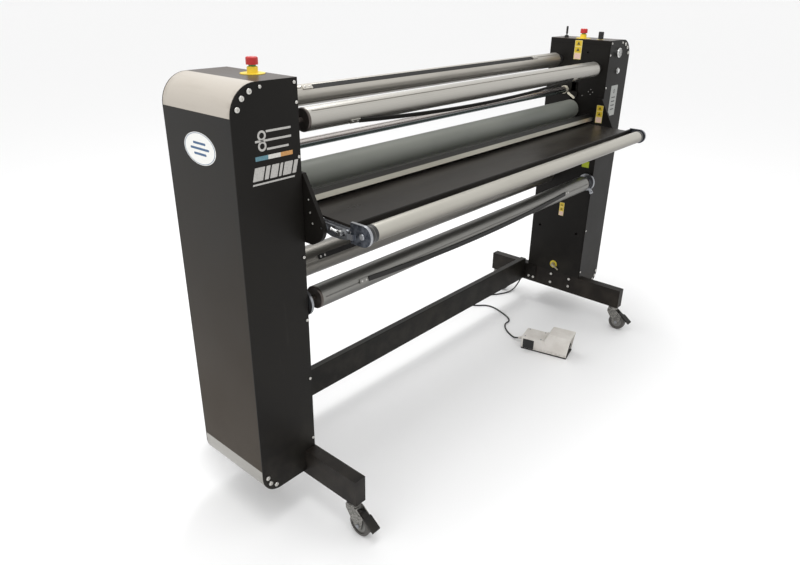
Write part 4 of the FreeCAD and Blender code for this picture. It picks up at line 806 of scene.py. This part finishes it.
def moulded(name, colour, rough, shine=0.5):
    plastic = Finish(name, Specular_IOR_Level=shine)
    flow = plastic.noise(35, 4)
    fine = plastic.noise(900, 2)
    blotches = plastic.ease(flow, 0.35, 0.8) * BLOTCH
    plastic.put("Base Color", plastic.mix(blotches, tone(*colour), shaded(colour, 0.75)))
    plastic.put("Roughness", plastic.ease(flow, 0.3, 0.7, rough - 0.05, rough + 0.07))
    plastic.bump(fine, 0.1, 0.0002)
    return plastic


dress(moulded("stop_body_yellow", (226, 196, 52), 0.4), "estop_bodies")
for name in ("estop_cap_left", "estop_cap_right"):
    low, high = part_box(name)
    cap = Finish(name + "_plastic", Specular_IOR_Level=0.5)
    z = cap.axes()[2]
    collar = z < high.z - COLLAR_DEPTH
    flow = cap.noise(60, 4)
    red = cap.mix(flow, tone(196, 34, 30), tone(164, 22, 22))
    cap.put("Base Color", cap.mix(collar, red, tone(70, 140, 62)))
    cap.put("Roughness", cap.ease(flow, 0.3, 0.7, 0.28, 0.4))
    dress(cap, name)
    middle = (low + high) / 2
    bm = bmesh.new()
    for turn in range(3):
        arc = Matrix.Rotation(turn * math.tau / 3, 4, "Z")
        for step in range(4):
            swing = Matrix.Rotation(step * ARROW_STEP, 4, "Z") @ Matrix.Translation((ARROW_RADIUS, 0, 0))
            place = Matrix.Translation((middle.x, middle.y, high.z)) @ arc @ swing
            add_label(bm, 0.0012, 0.0022, 0, 0.0001, place)
    finished(name + "_arrows", bm, white_ink, name.replace("estop_cap", "stop"))
black_plastic = moulded("black_plastic", (24, 24, 24), 0.42)
dress(black_plastic, "pressure_knob", "rear_inlets", "lift_lever")
boot_rubber = moulded("boot_rubber", (26, 26, 26), 0.6, 0.35)
dress(boot_rubber, "lever_boot")
top_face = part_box("top_panels")[1].z
low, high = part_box("pressure_knob")
knob = (low + high) / 2
bm = bmesh.new()
add_ring(bm, 0.0155, 0.0055, 0.0004, Matrix.Translation((knob.x, knob.y, top_face)), 40)
finished("knob_ring_label", bm, yellow_vinyl, "frame")
bm = bmesh.new()
add_label(bm, 0.0012, 0.0075, 0.0004, 0.0002, Matrix.Translation((knob.x, knob.y - 0.0058, high.z)))
finished("knob_pointer", bm, white_ink, "knob")
low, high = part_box("lever_boot")
boot = (low + high) / 2
bm = bmesh.new()
folds = [(0.0104, 0.0004), (0.0104, 0.0018), (0.0094, 0.0026), (0.0101, 0.0036), (0.0086, 0.0046)]
folds += [(0.0091, 0.0056), (0.0078, 0.0066), (0.0082, 0.0076), (0.0072, 0.0086), (0.0064, 0.0088)]
add_lathe(bm, folds, Matrix.Translation((boot.x, boot.y, top_face)), 40)
finished("boot_folds", bm, boot_rubber, "frame", 70)

# ------------------------------------------------------------------ gauge and push button
# A pressure gauge in a chromed bezel with a white dial and a plain needle, and a chromed
# anti-vandal push button, both through the right-hand front plate.
TICKS, FIRST_TICK, TICK_STEP, NEEDLE_TURN = 11, 225, 27, 150
chrome = bare_steel("bright_chrome", (214, 214, 212), 0.1, stain=0.15)
dress(chrome, "pressure_gauge", "button_housing", "push_button")
low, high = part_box("pressure_gauge")
dial = facing((0, -1, 0), ((low.x + high.x) / 2, low.y + 0.003, (low.z + high.z) / 2))
bm = bmesh.new()
add_lathe(bm, [(0, 0.0004), (0.0157, 0.0004), (0.0157, 0)], dial, 48)
finished("gauge_dial", bm, print_ink("dial_white", (226, 226, 220), 0.4), "frame")
bm = bmesh.new()
for tick in range(TICKS):
    spin = Matrix.Rotation(math.radians(FIRST_TICK - TICK_STEP * tick), 4, "Z")
    tall = 0.0034 if tick % 5 == 0 else 0.0022
    add_label(bm, tall, 0.0006, 0, 0.0001, dial @ spin @ Matrix.Translation((0.0138 - tall / 2, 0, 0.0004)))
needle = dial @ Matrix.Rotation(math.radians(NEEDLE_TURN), 4, "Z") @ Matrix.Translation((0.0038, 0, 0.0007))
add_label(bm, 0.0150, 0.0009, 0.0003, 0.0002, needle)
add_lathe(bm, [(0, 0.0014), (0.0017, 0.0012), (0.0019, 0.0005)], dial, 20)
finished("gauge_needle", bm, print_ink("needle_black", (28, 28, 28), 0.4), "frame")
glass = Finish("gauge_glass", Roughness=0.03, Transmission_Weight=1.0, IOR=1.45)
glass.put("Roughness", glass.ease(glass.noise(90), 0.3, 0.8, 0.02, 0.08))
bm = bmesh.new()
add_lathe(bm, [(0, 0.0026), (0.0156, 0.0024), (0.0156, 0.0018), (0, 0.0018)], dial, 48)
finished("gauge_window", bm, glass, "frame")

# ------------------------------------------------------------------ air inlet and drive
# A nickel-plated elbow with a hose nipple low on the right inner plate, in a yellow ring
# label. The drive and the lifting cylinders sit inside the cabinets.
dress(bare_steel("nickel_fitting", (180, 172, 150), 0.26), "air_inlet")
bm = bmesh.new()
add_ring(bm, 0.019, 0.0085, 0.0003, facing((-1, 0, 0), (inner_wall, 0, 0.236)), 40)
finished("air_ring_label", bm, print_ink("ring_yellow", (206, 186, 60), 0.4), "frame")
dress(moulded("motor_paint", (92, 96, 98), 0.5), "gear_motor")
dress(bare_steel("cylinder_tube", (190, 190, 188), 0.34), "lift_cylinders")

# ------------------------------------------------------------------ foot switch
# A light grey moulded hood and case on a black rubber sole, with a ribbed black treadle
# inside the hood. A flanged joint runs round it where the hood meets the case.
PEDAL_WIDTH, PEDAL_BOX, SOLE = 0.094, 0.100, 0.006
TREAD_RISE, TREAD_RUN, TREAD_RIBS, RIB_STEP = 0.014, 0.088, 9, 0.0085
to_pedal = Matrix.Translation(PEDAL_CORNER) @ Matrix.Rotation(PEDAL_TURN, 4, "Z")
shell = Finish("pedal_shell", Specular_IOR_Level=0.45)
z = shell.axes()[2]
flow = shell.noise(18, 5)
low_dirt = shell.ease(z, 0.028, 0.008) * shell.ease(shell.noise(70, 4), 0.3, 0.7)
grey = shell.mix(shell.ease(flow, 0.3, 0.7), tone(222, 218, 212), tone(210, 205, 198))
dusted = shell.mix(low_dirt * 0.4, grey, tone(120, 112, 100))
shell.put("Base Color", shell.mix(z < SOLE + 0.0003, dusted, tone(26, 25, 24)))
shell.put("Roughness", shell.ease(flow, 0.3, 0.7, 0.42, 0.54))
shell.bump(shell.noise(800, 2), 0.18, 0.0003)
dress(shell, "pedal_base", "pedal_hood", "pedal_strain_relief")
dress(moulded("treadle_rubber", (28, 28, 27), 0.6, 0.35), "pedal_treadle")
case_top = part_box("pedal_base")[1].z
bm = bmesh.new()
for side, face in ((-1, 0.0), (1, PEDAL_WIDTH)):
    place = to_pedal @ facing((side, 0, 0), (face, -PEDAL_BOX, SOLE + (case_top - SOLE) / 2))
    add_label(bm, 0.007, case_top - SOLE, 0.0012, 0.0012, place)
place = to_pedal @ facing((0, 0, 1), (PEDAL_WIDTH / 2, -PEDAL_BOX + 0.003, case_top))
add_label(bm, PEDAL_WIDTH, 0.006, 0.0012, 0.0012, place)
finished("pedal_joint_flange", bm, shell, "frame")
bm = bmesh.new()
place = to_pedal @ facing((-1, 0, 0), (0, -0.034, 0.029))
add_label(bm, 0.050, 0.044, 0.003, 0.0006, place)
finished("pedal_side_plate", bm, black_plastic, "frame")
bm = bmesh.new()
for across, along in ((0.012, -0.014), (0.082, -0.014), (0.012, -0.086), (0.082, -0.086)):
    place = to_pedal @ Matrix.Translation((across, along, case_top))
    add_lathe(bm, [(0, 0.0002), (0.0012, 0.0002), (0.0012, 0.0009), (0.003, 0.0007), (0.0034, 0)], place, 18)
finished("pedal_case_screws", bm, zinc, "frame")
bm = bmesh.new()
tread_tilt = math.atan2(TREAD_RISE, TREAD_RUN)
for rib in range(TREAD_RIBS):
    along = -0.128 - rib * RIB_STEP
    height = 0.0262 + (-0.114 - along) * math.tan(tread_tilt)
    lie = Matrix.Translation((PEDAL_WIDTH / 2, along, height)) @ Matrix.Rotation(-tread_tilt, 4, "X")
    place = to_pedal @ lie
    add_label(bm, 0.068, 0.0036, 0.001, 0.0014, place)
finished("treadle_ribs", bm, moulded("rib_rubber", (34, 34, 33), 0.65, 0.3), "treadle")
